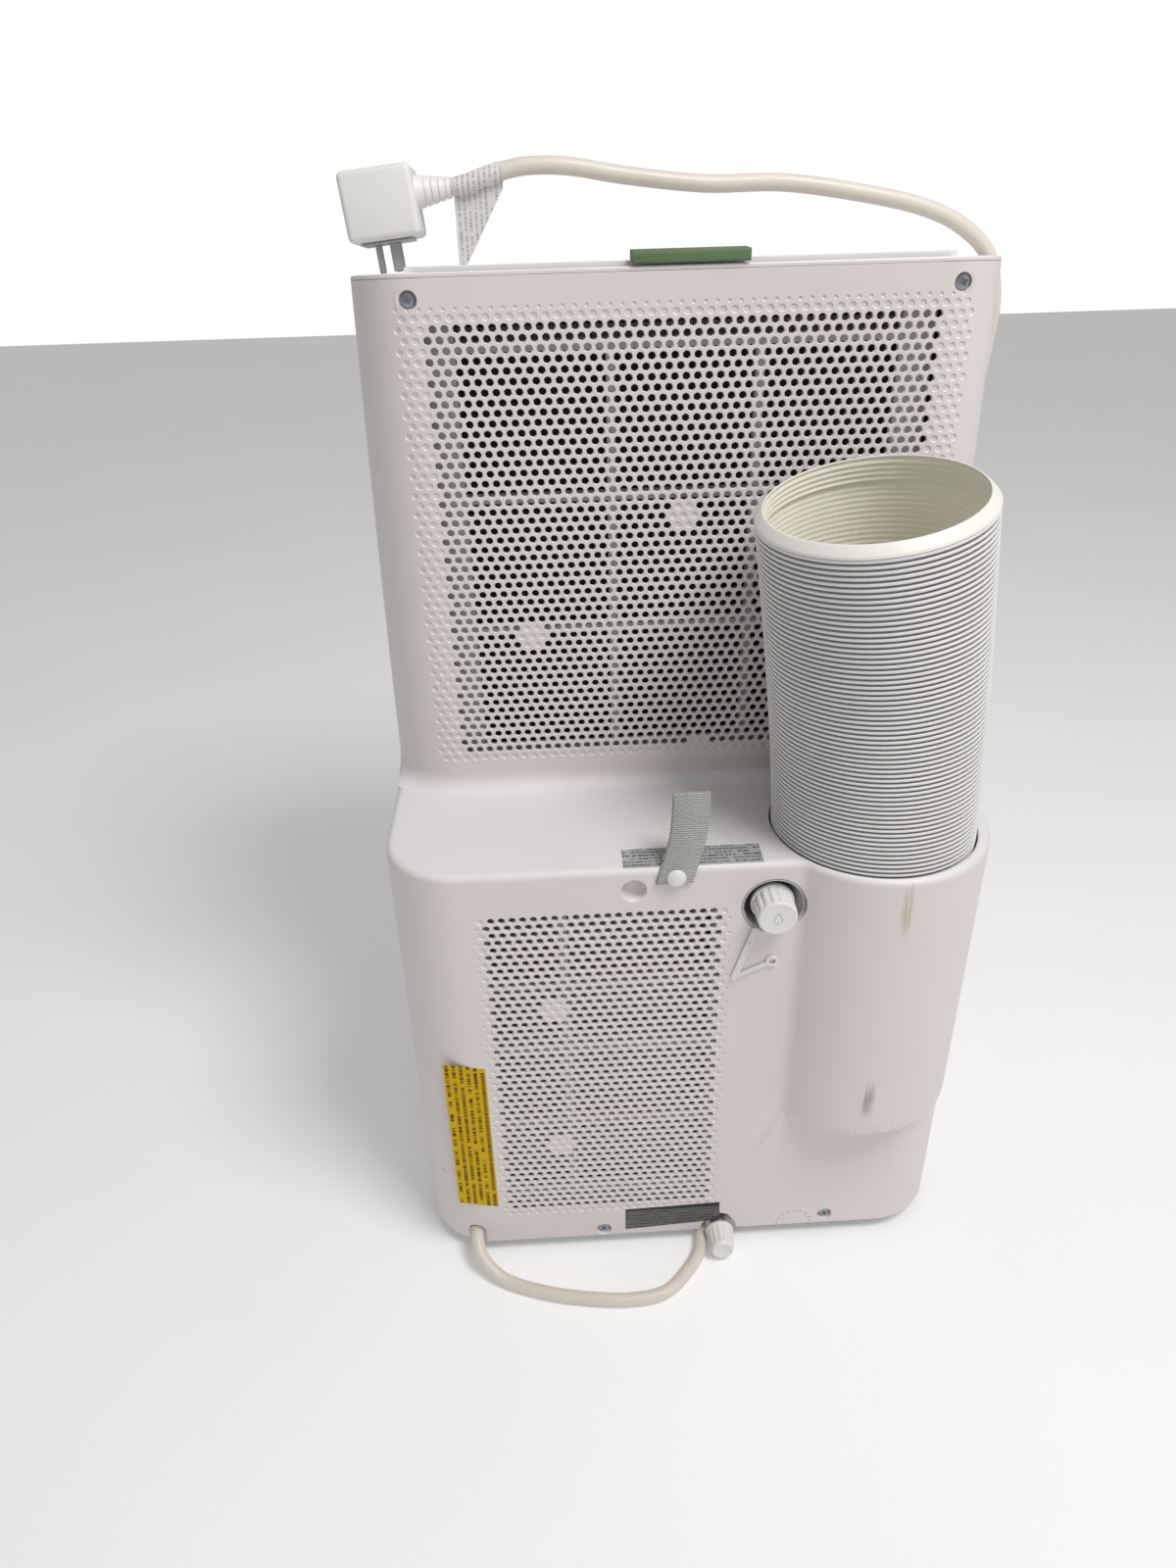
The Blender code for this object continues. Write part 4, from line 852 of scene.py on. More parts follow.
# The stretch with open holes; outside it the cells are blind dimples
UPPER_OPEN_HALF, UPPER_OPEN_ROWS = 0.1752, range(-10, 37)
LOWER_OPEN_LEFT, LOWER_OPEN_RIGHT = -0.020, 0.160
UPPER_BOSSES = ((-0.0019, 9), (0.1141, 22), (-0.0179, 37))
LOWER_ROWS = range(-22, 27)
LOWER_LEFT, LOWER_RIGHT = -0.02922, 0.17078
LOWER_BOSSES = ((0.1108, -8), (0.1108, 14))


def upper_z(row):
    return UPPER_ROW_Z - ROW * row


def lower_z(row):
    return LOWER_ROW_Z - ROW * row


def near_boss(bosses, s, row):
    """True for a boss's own cell and the six round it, which are blind."""
    for centre, middle in bosses:
        reach = PITCH + 0.001 if row == middle else PITCH / 2 + 0.001
        if abs(row - middle) <= 1 and abs(s - centre) < reach:
            return True
    return False


def make_upper_field():
    cells = []
    for row in UPPER_ROWS:
        first = UPPER_FIRST - row % 2 * PITCH / 2
        cells += [(row, first - PITCH * i) for i in range(50)]
    cells = [(row, round(s, 6)) for row, s in cells if abs(s) < UPPER_EDGE - 0.0035]

    def kind(row, s):
        outside = row not in UPPER_OPEN_ROWS or abs(s) > UPPER_OPEN_HALF
        return "dimple" if outside or near_boss(UPPER_BOSSES, s, row) else "hole"

    made = perforated("upper_intake", tower_place, -UPPER_EDGE, UPPER_EDGE, UPPER_ROWS, upper_z, cells, kind,
                      "casing")
    even_normals(made, wall_normal)
    return settle(made, "white_plastic", "housing", "upper_intake_grille")


def make_lower_field():
    cells = []
    for row in LOWER_ROWS:
        first = LOWER_FIRST - row % 2 * PITCH / 2
        cells += [(row, round(first - PITCH * i, 6)) for i in range(LOWER_COUNT - row % 2)]

    def kind(row, s):
        outside = not LOWER_OPEN_LEFT < s < LOWER_OPEN_RIGHT
        if row == LOWER_ROWS[0]:
            return "plain"
        if outside and row % 2 == 0:
            return "small"
        blind = outside or row == LOWER_ROWS[-1] or near_boss(LOWER_BOSSES, s, row)
        return "dimple" if blind else "hole"

    def place(s, z, depth):
        return Vector((s, LOWER_REAR - depth, z))

    made = perforated("lower_intake", place, LOWER_LEFT, LOWER_RIGHT, LOWER_ROWS, lower_z, cells, kind,
                      "casing")
    return settle(made, "white_plastic", "housing", "lower_intake_grille")


# ---------------------------------------------------------------- casing

def upper_window():
    """The opening in the tower's rear wall that the perforated plate fills."""
    low, high = upper_z(UPPER_ROWS[-1] + 0.5), upper_z(UPPER_ROWS[0] - 0.5)
    heights = [low] + [z for z in TOWER_LEVELS if low < z < high] + [high]
    loops = []
    for z in heights:
        plan = []
        for s, depths in ((UPPER_EDGE, (-0.02, 0.02)), (-UPPER_EDGE, (0.02, -0.02))):
            plan += [tower_place(s, z, depth) for depth in depths]
        loops.append(plan)
    return loft(loops)


def tower_block(inset, low, open_y):
    heights = [low] + [z for z in TOWER_LEVELS if z > low]
    loops = [level(tower_outline(z, inset, open_y), z) for z in heights]
    return loft(loops + [on_slope(tower_outline(PLAN_Z, inset, open_y), TOP_THICK)])


def fillet_block():
    loops = [level(tower_outline(SHELF_Z, -SHELF_FILLET, limit=HALF_WIDTH - 0.0004), SHELF_Z - 0.002)]
    for step in range(11):
        turn = math.pi / 2 * step / 10
        out = SHELF_FILLET * (1 - math.sin(turn)) - 0.0001
        z = SHELF_Z + SHELF_FILLET * (1 - math.cos(turn))
        loops.append(level(tower_outline(z, -out, limit=HALF_WIDTH - 0.0004), z))
    loops.append(level(tower_outline(SHELF_Z + 0.020, 0.001, limit=HALF_WIDTH - 0.0004), SHELF_Z + 0.020))
    return loft(loops)


def counterbore(x, z, surface_y, depth, radius):
    """The round recess that a screw sits in, with an eased mouth."""
    profile = ((0, -depth), (radius - 0.0003, -depth), (radius, -0.0005), (radius + 0.0004, 0.0001),
               (radius + 0.0004, 0.01), (0, 0.01))
    return turned(profile, (x, surface_y, z), REAR, 40)


def make_rear_shell():
    low = [level(lower_outline(0.002), CASE_BOTTOM), level(lower_outline(), CASE_BOTTOM + 0.002)]
    top = [level(lower_outline(i), SHELF_Z - drop) for i, drop in rounding(SHELF_ROUND, 8)]
    shell = solid("rear_shell", loft(low + top), "casing")
    under = [level(bulge_outline(i), BULGE_BOTTOM + drop) for i, drop in reversed(rounding(BULGE_ROUND, 10))]
    over = [level(bulge_outline(i), SHELF_Z - drop) for i, drop in rounding(SHELF_ROUND, 8)]
    join(shell, loft(under + over))
    join(shell, fillet_block())
    join(shell, tower_block(0.0, SHELF_Z - 0.001, SEAM_Y))
    open_y = SEAM_Y - 0.01
    inner = [level(lower_outline(WALL, open_y), z) for z in (CASE_BOTTOM - 0.01, SHELF_Z - WALL)]
    cut(shell, loft(inner))
    loops = [level(tower_outline(z, WALL, open_y), z) for z in (0.30, SHELF_Z, *TOWER_LEVELS)]
    cut(shell, loft(loops + [on_slope(tower_outline(PLAN_Z, WALL, open_y), -0.01)]))
    cut(shell, rod((HOSE_X, HOSE_Y, BULGE_BOTTOM + 0.003), (HOSE_X, HOSE_Y, SHELF_Z - WALL), WELL_R + 0.0022,
                   sides=96))
    mouth = ((0, -0.02), (WELL_R, -0.02), (WELL_R, -0.0014), (WELL_R + 0.0004, -0.0004),
             (WELL_R + 0.0014, 0.0), (WELL_R + 0.0014, 0.03), (0, 0.03))
    cut(shell, turned(mouth, (HOSE_X, HOSE_Y, SHELF_Z), UP, 96))
    cut(shell, upper_window())
    cut(shell, box(LOWER_LEFT, LOWER_RIGHT, LOWER_REAR - 0.01, LOWER_REAR + 0.01,
                   lower_z(LOWER_ROWS[-1] + 0.5), lower_z(LOWER_ROWS[0] - 0.5)))
    dots = []
    for step in range(DOT_COUNT):
        s = UPPER_FIRST - PITCH * step
        point, under = tower_place(s, DOT_Z), tower_place(s, DOT_Z, DOT_DEPTH)
        out = (point - under).normalized()
        dots.append(rod(point - out * DOT_DEPTH, point + out * 0.0004, 0.0010, 0.0019, sides=12))
    cut(shell, merged(*dots))
    screws = [(x, z, tower_place(x, z).y, UPPER_SEAT, 0.0060) for x, z in UPPER_SCREWS]
    screws += [(x, z, LOWER_REAR, LOWER_SEAT, 0.0066) for x, z in LOWER_SCREWS]
    for x, z, surface, seat, radius in screws:
        join(shell, rod((x, surface - 0.012, z), (x, surface - 0.0012, z), 0.0085))
        cut(shell, counterbore(x, z, surface, seat, radius))
    x, z = FINGER_HOLE
    join(shell, rod((x, LOWER_REAR - 0.012, z), (x, LOWER_REAR - 0.001, z), 0.0120))
    bowl = ((0, -0.0090), (0.0060, -0.0088), (0.0086, -0.0070), (0.0093, -0.0040), (0.0094, -0.0008),
            (0.0101, 0.0001), (0.0101, 0.01), (0, 0.01))
    cut(shell, turned(bowl, (x, LOWER_REAR, z), REAR, 48))
    x, z = UPPER_DRAIN
    drain = ((0, -0.01), (0.0243, -0.01), (0.0243, -0.0007), (0.0249, 0.0001), (0.0249, 0.02), (0, 0.02))
    cut(shell, turned(drain, (x, LOWER_REAR, z), REAR, 64))
    x = CORD_EXIT[0]
    arch = [(x - 0.008, 0.0), (x + 0.008, 0.0)] + arc(x, 0.0275, 0.008, 0, 180, 16)
    cut(shell, prism(arch, 0.150, 0.21))
    arch = [(-0.0495, 0.0), (-0.0085, 0.0), (-0.0140, 0.0215)] + arc(-0.0295, 0.0225, 0.0130, 40, 140, 14)
    cut(shell, prism(arch + [(-0.0450, 0.0215)], 0.170, 0.21))
    # Perforated outline of a knock-out in the lower edge
    for step in range(9):
        a = math.radians(180 * step / 8)
        x, z = -0.0988 + 0.0152 * math.cos(a), 0.0170 + 0.0150 * math.sin(a)
        cut(shell, rod((x, LOWER_REAR - 0.0012, z), (x, LOWER_REAR + 0.01, z), 0.0009, sides=10))
    even_normals(shell, wall_normal)
    return settle(shell, "white_plastic", "housing", "rear_cover")


def make_front_shell():
    seam = SEAM_Y - GAP
    loops = [level(front_outline(CASE_BOTTOM, 0.002, seam), CASE_BOTTOM)]
    loops += [level(front_outline(z, 0.0, seam), z) for z in (CASE_BOTTOM + 0.002, SHELF_Z, *TOWER_LEVELS)]
    loops.append(on_slope(front_outline(PLAN_Z, 0.0, seam), TOP_THICK))
    shell = solid("front_shell", loft(loops), "casing")
    loops = [level(front_outline(z, WALL, 0.01), z) for z in (0.0, SHELF_Z, *TOWER_LEVELS)]
    cut(shell, loft(loops + [on_slope(front_outline(PLAN_Z, WALL, 0.01), -0.01)]))
    for side in (-1, 1):
        x0, x1 = sorted((side * 0.21, side * 0.25))
        cut(shell, box(x0, x1, -0.1650, -0.0750, 0.6000, 0.6400))
    for z in (0.0600, 0.6900):
        cut(shell, box(-0.170, 0.170, FRONT_Y - 0.01, FRONT_Y + 0.0012, z, z + 0.0025, 0.0008, 2))
    return settle(shell, "white_plastic", "housing", "front_cover")


def make_lid():
    lid = TOP_THICK - GAP

    def ring(inset, below):
        plan = tower_outline(PLAN_Z, inset, SEAM_Y)[1:-1] + front_outline(PLAN_Z, inset, SEAM_Y)[1:-1]
        return on_slope(plan, below)

    loops = [ring(0.0, lid)] + [ring(i, drop) for i, drop in rounding(0.0016, 5)]
    cover = solid("top_lid", loft(loops), "casing")
    cut(cover, box(-0.1815, 0.1815, 0.0325, 0.0495, 0.75, 0.85))
    for x0, x1, y0, y1 in (OUTLET_WINDOW, PANEL_WINDOW):
        cut(cover, moved(box(x0, x1, y0, y1, -0.03, 0.03), TOP_FRAME))
    return settle(cover, "white_plastic", "housing", "top_cover")


def make_screw(name, node, x, z, seat):
    """A pan-head screw with a cross recess, a little below the casing's surface."""
    profile = ((0, -0.010), (0.0017, -0.010), (0.0017, 0.0), (0.0047, 0.0), (0.0050, 0.0004),
               (0.0049, 0.0014), (0.0042, 0.0022), (0.0024, 0.0026), (0, 0.0027))
    screw = solid(name, turned(profile, (x, seat, z), REAR, 40), "zinc")
    for turn in (25, 115):
        blade = moved(box(-0.0026, 0.0026, -0.0012, 0.004, -0.00055, 0.00055),
                      Matrix.Translation((x, seat + 0.0022, z)) @ Matrix.Rotation(math.radians(turn), 4, "Y"))
        cut(screw, blade)
    point = ((0, -0.0012), (0.0011, 0.0004), (0.0013, 0.004), (0, 0.004))
    cut(screw, turned(point, (x, seat + 0.0018, z), REAR, 16))
    return settle(screw, "zinc", "housing", node)


# ---------------------------------------------------------------- exhaust hose

def hose_share(z):
    return max(0.0, (z - SHELF_Z) / (HOSE_TOP_Z - SHELF_Z))


def hose_ring(z, radius, sides):
    share = hose_share(z)
    x, y = HOSE_X + CUFF_LEAN_X * share**1.35, HOSE_Y + CUFF_LEAN_Y * share**1.8
    tilt = Matrix.Rotation(CUFF_TILT_X * share, 3, "X") @ Matrix.Rotation(CUFF_TILT_Y * share, 3, "Y")
    turn = [math.tau * i / sides for i in range(sides)]
    return [Vector((x, y, z)) + tilt @ Vector((radius * math.cos(a), radius * math.sin(a), 0)) for a in turn]


def make_hose():
    """The corrugated hose: narrow ridges with thin grooves between them, outside and in."""
    foot, count = 0.1650, 128
    pitch = (HOSE_TOP_Z - foot) / (count - 0.40)
    crest, groove = HOSE_R, HOSE_R - 0.0021
    wave = ((0.00, groove), (0.05, crest - 0.0005), (0.14, crest), (0.52, crest), (0.61, crest - 0.0005),
            (0.68, groove))
    outer = [(foot + pitch * (i + t), r) for i in range(count) for t, r in wave]
    outer = [station for station in outer if station[0] <= HOSE_TOP_Z + 0.00005]
    inner = []
    for i in range(count):
        inner += [(foot + pitch * (i + 0.02), groove - 0.0010), (foot + pitch * (i + 0.33), groove - 0.0004),
                  (foot + pitch * (i + 0.60), groove - 0.0010)]
    inner[-1] = (HOSE_TOP_Z, groove - 0.0010)
    sections = outer + inner[::-1]
    sides = 60
    bm = loft([hose_ring(z, r, sides) for z, r in sections], capped=False)
    bm.faces.index_update()
    # Faces in the outer grooves take the dark second material: painted shade in the corrugations
    dark = {i for i, (a, b) in enumerate(zip(outer, outer[1:])) if min(a[1], b[1]) < crest - 0.0010}
    for face in bm.faces:
        face.material_index = 1 if face.index // sides in dark else 0
    hose = mesh_object("corrugated_hose", bm, "hose", sharp=75)
    hose.data.materials.append(MATERIALS["groove"])
    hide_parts("exhaust_hose")
    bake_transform(hose)
    return hose


def make_cuff():
    """The tapered end ring: smooth outside, with a thin lip, and ribbed inside down into the hose."""
    low, high = HOSE_TOP_Z + GAP, HOSE_TOP_Z + CUFF_HEIGHT
    rise = high - low
    outer = [(low + share * rise, radius) for share, radius in (
        (0.0, 0.0772), (0.06, 0.0779), (0.20, 0.0779), (0.36, 0.0770), (0.60, 0.0752), (0.85, 0.0734),
        (0.96, 0.0725), (1.0, 0.0721))]
    inner = [(high, 0.0713), (high - 0.0004, 0.0711), (high - 0.0014, 0.0711)]
    for rib in range(4):
        z, flare = high - 0.0014 - 0.0039 * rib, 0.0005 * rib
        inner += [(z - 0.0006, 0.0717 + flare), (z - 0.0018, 0.0717 + flare), (z - 0.0024, 0.0712 + flare),
                  (z - 0.0039, 0.0712 + flare)]
    skirt = [(inner[-1][0], 0.0742), (low - 0.0002, 0.0742)]
    bm = loft([hose_ring(z, r, 120) for z, r in outer + inner + skirt], capped=False)
    cuff = mesh_object("hose_end_ring", bm, "ring", sharp=50)
    return settle(cuff, "hose_plastic", "cuff", "hose_cuff")


def make_well():
    outer = WELL_R + 0.0015
    bottom, top = BULGE_BOTTOM + 0.0035, SHELF_Z - WALL - GAP
    profile = ((0.0600, bottom), (outer, bottom), (outer, top), (WELL_R, top), (WELL_R, bottom + 0.003),
               (0.0685, bottom + 0.003), (0.0685, bottom + 0.022), (0.0660, bottom + 0.022),
               (0.0660, bottom + 0.003), (0.0600, bottom + 0.003))
    well = mesh_object("hose_well_liner", turned(profile, (HOSE_X, HOSE_Y, 0), UP, 96), "pale_grey")
    return settle(well, "grey_plastic", "housing", "hose_well")


# ---------------------------------------------------------------- drains and strap

def fluting(count, depth, low, high):
    """A ripple of flat-bottomed grooves between two heights."""
    def ripple(angle, height):
        if not low <= height <= high:
            return 0.0
        wave = 0.5 + 0.5 * math.cos(count * angle)
        return -depth * min(1.0, max(0.0, (wave - 0.25) * 2.2))
    return ripple


def make_upper_drain():
    x, z = UPPER_DRAIN
    y = LOWER_REAR
    profile = ((0, -0.0170), (0.0240, -0.0170), (0.0240, -0.0004), (0.0232, -0.0001), (0.0225, -0.0008),
               (0.0222, -0.0150), (0.0090, -0.0150), (0.0090, 0.0085), (0.0066, 0.0085), (0.0066, -0.0120),
               (0, -0.0120))
    spout = solid("drain_recess", turned(profile, (x, y, z), REAR, 64), "grey")
    cut(spout, rod((HOSE_X, HOSE_Y, z - 0.03), (HOSE_X, HOSE_Y, z + 0.03), WELL_R + 0.0021, sides=96))
    # The deep inside of the recess is painted near-black: painted shade
    spout.data.materials.append(MATERIALS["recess"])
    for face in spout.data.polygons:
        deep = face.center.y < LOWER_REAR - 0.0012
        if deep and math.hypot(face.center.x - x, face.center.z - z) < 0.0223:
            face.material_index = 1
    settle(spout, "grey_plastic", "housing", "upper_drain_spout")
    base = -0.0072
    top = base + 0.0236
    profile = ((0, base), (0.0166, base), (0.0167, base + 0.0006), (0.0167, base + 0.0030),
               (0.0158, base + 0.0036), (0.0156, base + 0.0046), (0.0153, top - 0.0060),
               (0.0152, top - 0.0034), (0.0150, top - 0.0020), (0.0146, top - 0.0008),
               (0.0140, top - 0.0002), (0.0132, top), (0.0128, top - 0.0001), (0, top - 0.0001))
    ripple = fluting(16, 0.0010, base + 0.0042, top - 0.0030)
    cap = solid("drain_cap", turned(profile, (x, y, z), REAR, 144, ripple), "white")
    cut(cap, rod((x, y - 0.02, z), (x, y + 0.0120, z), 0.0094))
    # A plain drop, sunk in the face
    drop = [(x, z + 0.0064), (x - 0.0014, z + 0.0038), (x - 0.0031, z + 0.0011)]
    drop += arc(x, z - 0.0014, 0.0037, 160, 380, 14) + [(x + 0.0031, z + 0.0011), (x + 0.0014, z + 0.0038)]
    face = y + top
    cut(cap, prism(drop, face - 0.0010, face + 0.002))
    inner = [(x + (u - x) * 0.72, z + (v - z) * 0.72 - 0.0002) for u, v in drop]
    join(cap, prism(inner, face - 0.0012, face - 0.0002))
    settle(cap, "white_plastic", "upper_cap", "upper_drain_cap")


def strip(start, end, width, y_low, y_high):
    along = (end - start).normalized()
    side = Vector((-along.y, along.x)) * width / 2
    outline = [start - side, end - side, end + side, start + side]
    return soften(prism([tuple(p) for p in outline], y_low, y_high), 0.0005)


def make_tether():
    """The cap's rubber tether: a flat strip that leaves the recess, folds, and ends in a loose ring."""
    upper, fold, ring = Vector((-0.0457, 0.3602)), Vector((-0.0309, 0.3134)), Vector((-0.0601, 0.3274))
    low, high = 0.1914, 0.1932
    tether = solid("cap_tether_strip", strip(upper, fold, 0.0054, low, high), "tether")
    join(tether, strip(fold, ring, 0.0040, low, high))
    join(tether, rod((fold.x, low, fold.y), (fold.x, high + 0.0001, fold.y), 0.0027, 0.0024))
    join(tether, turned(((0, 0), (0.0052, 0), (0.0052, 0.0014), (0.0048, 0.0019), (0, 0.0019)),
                        (ring.x, low, ring.y), REAR, 40))
    cut(tether, rod((ring.x, 0.18, ring.y), (ring.x, 0.20, ring.y), 0.0026))
    knob = upper.lerp(fold, 0.30)
    join(tether, turned(((0, -0.0010), (0.0016, -0.0010), (0.0016, 0.0004), (0.0010, 0.0008), (0, 0.0009)),
                        (knob.x, high, knob.y), REAR, 24))
    settle(tether, "white_plastic", "housing", "cap_tether")


def make_lower_cap():
    x, z = LOWER_DRAIN
    profile = ((0, 0), (0.0125, 0), (0.0127, 0.0004), (0.0127, 0.0020), (0.0122, 0.0028), (0.0120, 0.0034),
               (0.0110, 0.0180), (0.0108, 0.0190), (0.0103, 0.0205), (0.0098, 0.0218), (0.0090, 0.0224),
               (0.0084, 0.0225), (0.0078, 0.0221), (0, 0.0221))
    ripple = fluting(14, 0.0008, 0.0030, 0.0185)
    cap = solid("lower_cap_knob", turned(profile, (x, LOWER_CAP_Y, z), REAR, 112, ripple), "white")
    cut(cap, rod((x, 0.18, z), (x, 0.2115, z), 0.0074))
    settle(cap, "white_plastic", "lower_cap", "lower_drain_cap")


def make_strap():
    """Two layers of webbing: up from the rivet, over the shelf's edge, folded at the top and back."""
    x, z = STRAP_RIVET
    y = LOWER_REAR
    # The strap's middle line as (x, y, z), up its inner layer; the outer layer lies just behind it
    middle = ((x + 0.0010, y + 0.0011, z - 0.0055), (x - 0.0003, y + 0.0011, z + 0.0003),
              (x - 0.0020, y - 0.0004, z + 0.0050), (x - 0.0037, y - 0.0032, z + 0.0090),
              (x - 0.0060, y - 0.0052, z + 0.0160), (x - 0.0091, y - 0.0070, z + 0.0260),
              (x - 0.0106, y - 0.0084, z + 0.0360), (x - 0.0113, y - 0.0095, z + 0.0455),
              (x - 0.0118, y - 0.0105, z + 0.0590), (x - 0.0119, y - 0.0107, z + 0.0625))
    half, thick = 0.0134, 0.00072
    section = ((-1, -0.6), (-0.97, -1), (0.97, -1), (1, -0.6), (1, 0.6), (0.97, 1), (-0.97, 1), (-1, 0.6))
    line = [(u, v + 0.0017, w) for u, v, w in middle]
    u, v, w = middle[-1]
    line += [(u, v + 0.0014, w + 0.0010), (u, v + 0.0007, w + 0.0013), (u + 0.0003, v, w + 0.0009)]
    line += [(u + 0.0006, v, w) for u, v, w in reversed(middle[:-1])]
    loops = []
    for i, (px, py, pz) in enumerate(line):
        ahead, behind = line[min(i + 1, len(line) - 1)], line[max(i - 1, 0)]
        along = Vector((ahead[1] - behind[1], ahead[2] - behind[2])).normalized()
        out = Vector((along.y, -along.x)) * thick
        loops.append([(px + half * u, py + out.x * push, pz + out.y * push) for u, push in section])
    strap = mesh_object("strap_band", loft(loops), "webbing", sharp=60)
    settle(strap, "webbing", "housing", "hose_strap")
    profile = ((0, 0.0028), (0.0072, 0.0034), (0.0073, 0.0041), (0.0070, 0.0050), (0.0060, 0.0060),
               (0.0040, 0.0068), (0.0020, 0.0071), (0, 0.0072))
    rivet = mesh_object("rivet_dome", turned(profile, (x, y, z), REAR, 48), "white")
    settle(rivet, "white_plastic", "housing", "strap_rivet")


def make_stickers():
    """Thin stickers with rows of dashes, a little proud of the plastic."""
    yellow = prism([(0.1696, 0.0616), (0.2039, 0.0698), (0.2040, 0.2362), (0.1697, 0.2285)],
                   LOWER_REAR - 0.0001, LOWER_REAR + 0.00012)
    shelf = box(-0.0498, 0.0546, 0.1630, 0.1872, SHELF_Z - 0.0002, SHELF_Z + 0.00012)
    lower = prism([(-0.0304, 0.0267), (0.0561, 0.0208), (0.0559, 0.0476), (-0.0295, 0.0503)],
                  LOWER_REAR - 0.0002, LOWER_REAR + 0.00012)
    for name, bm, look in (("side_sticker", yellow, "yellow"), ("shelf_sticker", shelf, "shelf_label"),
                           ("lower_sticker", lower, "lower_label")):
        settle(mesh_object(name, bm, look), "tag_film", "housing")


# ---------------------------------------------------------------- filter

def make_filter_tab():
    tab = [(0.0464, 0.8099), (0.0596, 0.8085), (0.0610, 0.8092), (0.0612, 0.8150), (0.0600, 0.8163),
           (0.0384, 0.8163), (0.0374, 0.8153), (0.0374, 0.8099)]
    piece = mesh_object("pull_tab", soften(prism(tab, -0.0431, 0.0352, "X"), 0.0004), "green")
    settle(piece, "green_plastic", "filter", "filter_pull_tab")


# ---------------------------------------------------------------- power cord and plug

CORD_STEPS = 14


def smooth_line(points):
    knots = [Vector(p) for p in points]
    ends = [knots[0] * 2 - knots[1]] + knots + [knots[-1] * 2 - knots[-2]]
    fine = []
    for a, b, c, d in zip(ends, ends[1:], ends[2:], ends[3:]):
        for step in range(CORD_STEPS):
            t = step / CORD_STEPS
            fine.append(0.5 * (2 * b + (c - a) * t + (2 * a - 5 * b + 4 * c - d) * t**2
                               + (3 * b - a - 3 * c + d) * t**3))
    return fine + [knots[-1]]


def make_cord():
    curve = bpy.data.curves.new("mains_cord", "CURVE")
    curve.dimensions = "3D"
    curve.bevel_depth = CORD_D / 2
    curve.bevel_resolution = 5
    curve.use_fill_caps = True
    line = smooth_line(CORD_ROUTE)
    spline = curve.splines.new("POLY")
    spline.points.add(len(line) - 1)
    for point, place in zip(spline.points, line):
        point.co = (*place, 1.0)
    curve.materials.append(MATERIALS["vinyl"])
    cord = placed("mains_cord", curve)
    settle(cord, "cream_vinyl", "housing", "power_cord")
    x, y, z = CORD_EXIT
    profile = [(0, -0.0370), (0.0098, -0.0370)]
    for ring in range(6):
        at = -0.0330 + 0.0050 * ring
        r = 0.0098 + (0.0064 - 0.0098) * (at + 0.0370) / 0.0364
        profile += [(r, at), (r - 0.0008, at + 0.0004), (r - 0.0009, at + 0.0016), (r - 0.0002, at + 0.0020)]
    profile += [(0.0066, -0.0010), (0.0062, -0.0006), (0, -0.0006)]
    gland = mesh_object("strain_relief", turned(profile, (x, y, z), REAR, 40), "vinyl")
    settle(gland, "cream_vinyl", "housing", "cord_gland")
    return cord, line


def make_plug():
    """A leak-detecting plug on its prongs: a rounded block with a tapered tail and two buttons."""
    place = Matrix.Translation(CORD_ROUTE[-1]) @ (
        Matrix.Rotation(math.radians(6), 4, "Y") @ Matrix.Rotation(TOP_SLOPE, 4, "X"))

    def block(*sizes):
        return moved(box(*sizes), place)

    body = solid("plug_block", block(0.0240, 0.0740, -0.0230, 0.0230, -0.0268, 0.0170, 0.0040, 4), "white")
    tail = [(0, 0.0002), (0.0064, 0.0003)]
    for ring in range(4):
        at = 0.0030 + 0.0048 * ring
        r = 0.0066 + 0.0044 * at / 0.0250
        tail += [(r, at), (r - 0.0007, at + 0.0004), (r - 0.0007, at + 0.0014), (r, at + 0.0018)]
    tail += [(0.0110, 0.0250), (0, 0.0255)]
    join(body, moved(turned(tail, (0, 0, 0), (1, 0, 0), 40), place))
    keys = (("plug_test_key", 0.0400, "dark", "test_key", "dark_plastic"),
            ("plug_reset_key", 0.0580, "red", "reset_key", "red_plastic"))
    for _, x, *_ in keys:
        cut(body, block(x - 0.0056, x + 0.0056, -0.0086, 0.0086, 0.0110, 0.03, 0.0008, 2))
    cut(body, block(0.0300, 0.0680, -0.030, -0.0222, -0.0160, 0.0060, 0.0010, 2))
    settle(body, "white_plastic", "housing", "plug_body")
    face = block(0.0310, 0.0670, -0.0140, 0.0140, -0.0286, -0.0271, 0.0004, 1)
    blades = solid("plug_prongs", face, "steel")
    for y in (-0.00635, 0.00635):
        join(blades, block(0.0415, 0.0485, y - 0.0008, y + 0.0008, -0.0464, -0.0280, 0.0005, 2))
    pin = ((0, 0), (0.0024, 0), (0.0024, -0.0172), (0.0016, -0.0192), (0, -0.0197))
    join(blades, moved(turned(pin, (0.0570, 0, -0.0280), UP, 28), place))
    settle(blades, "steel", "housing", "plug_blades")
    made = [body, blades]
    for name, x, look, key, slot in keys:
        bm = block(x - 0.0052, x + 0.0052, -0.0082, 0.0082, 0.0126, 0.0182, 0.0008, 2)
        made.append(settle(mesh_object(name, bm, look), slot, key, name.replace("key", "button")))
    return made


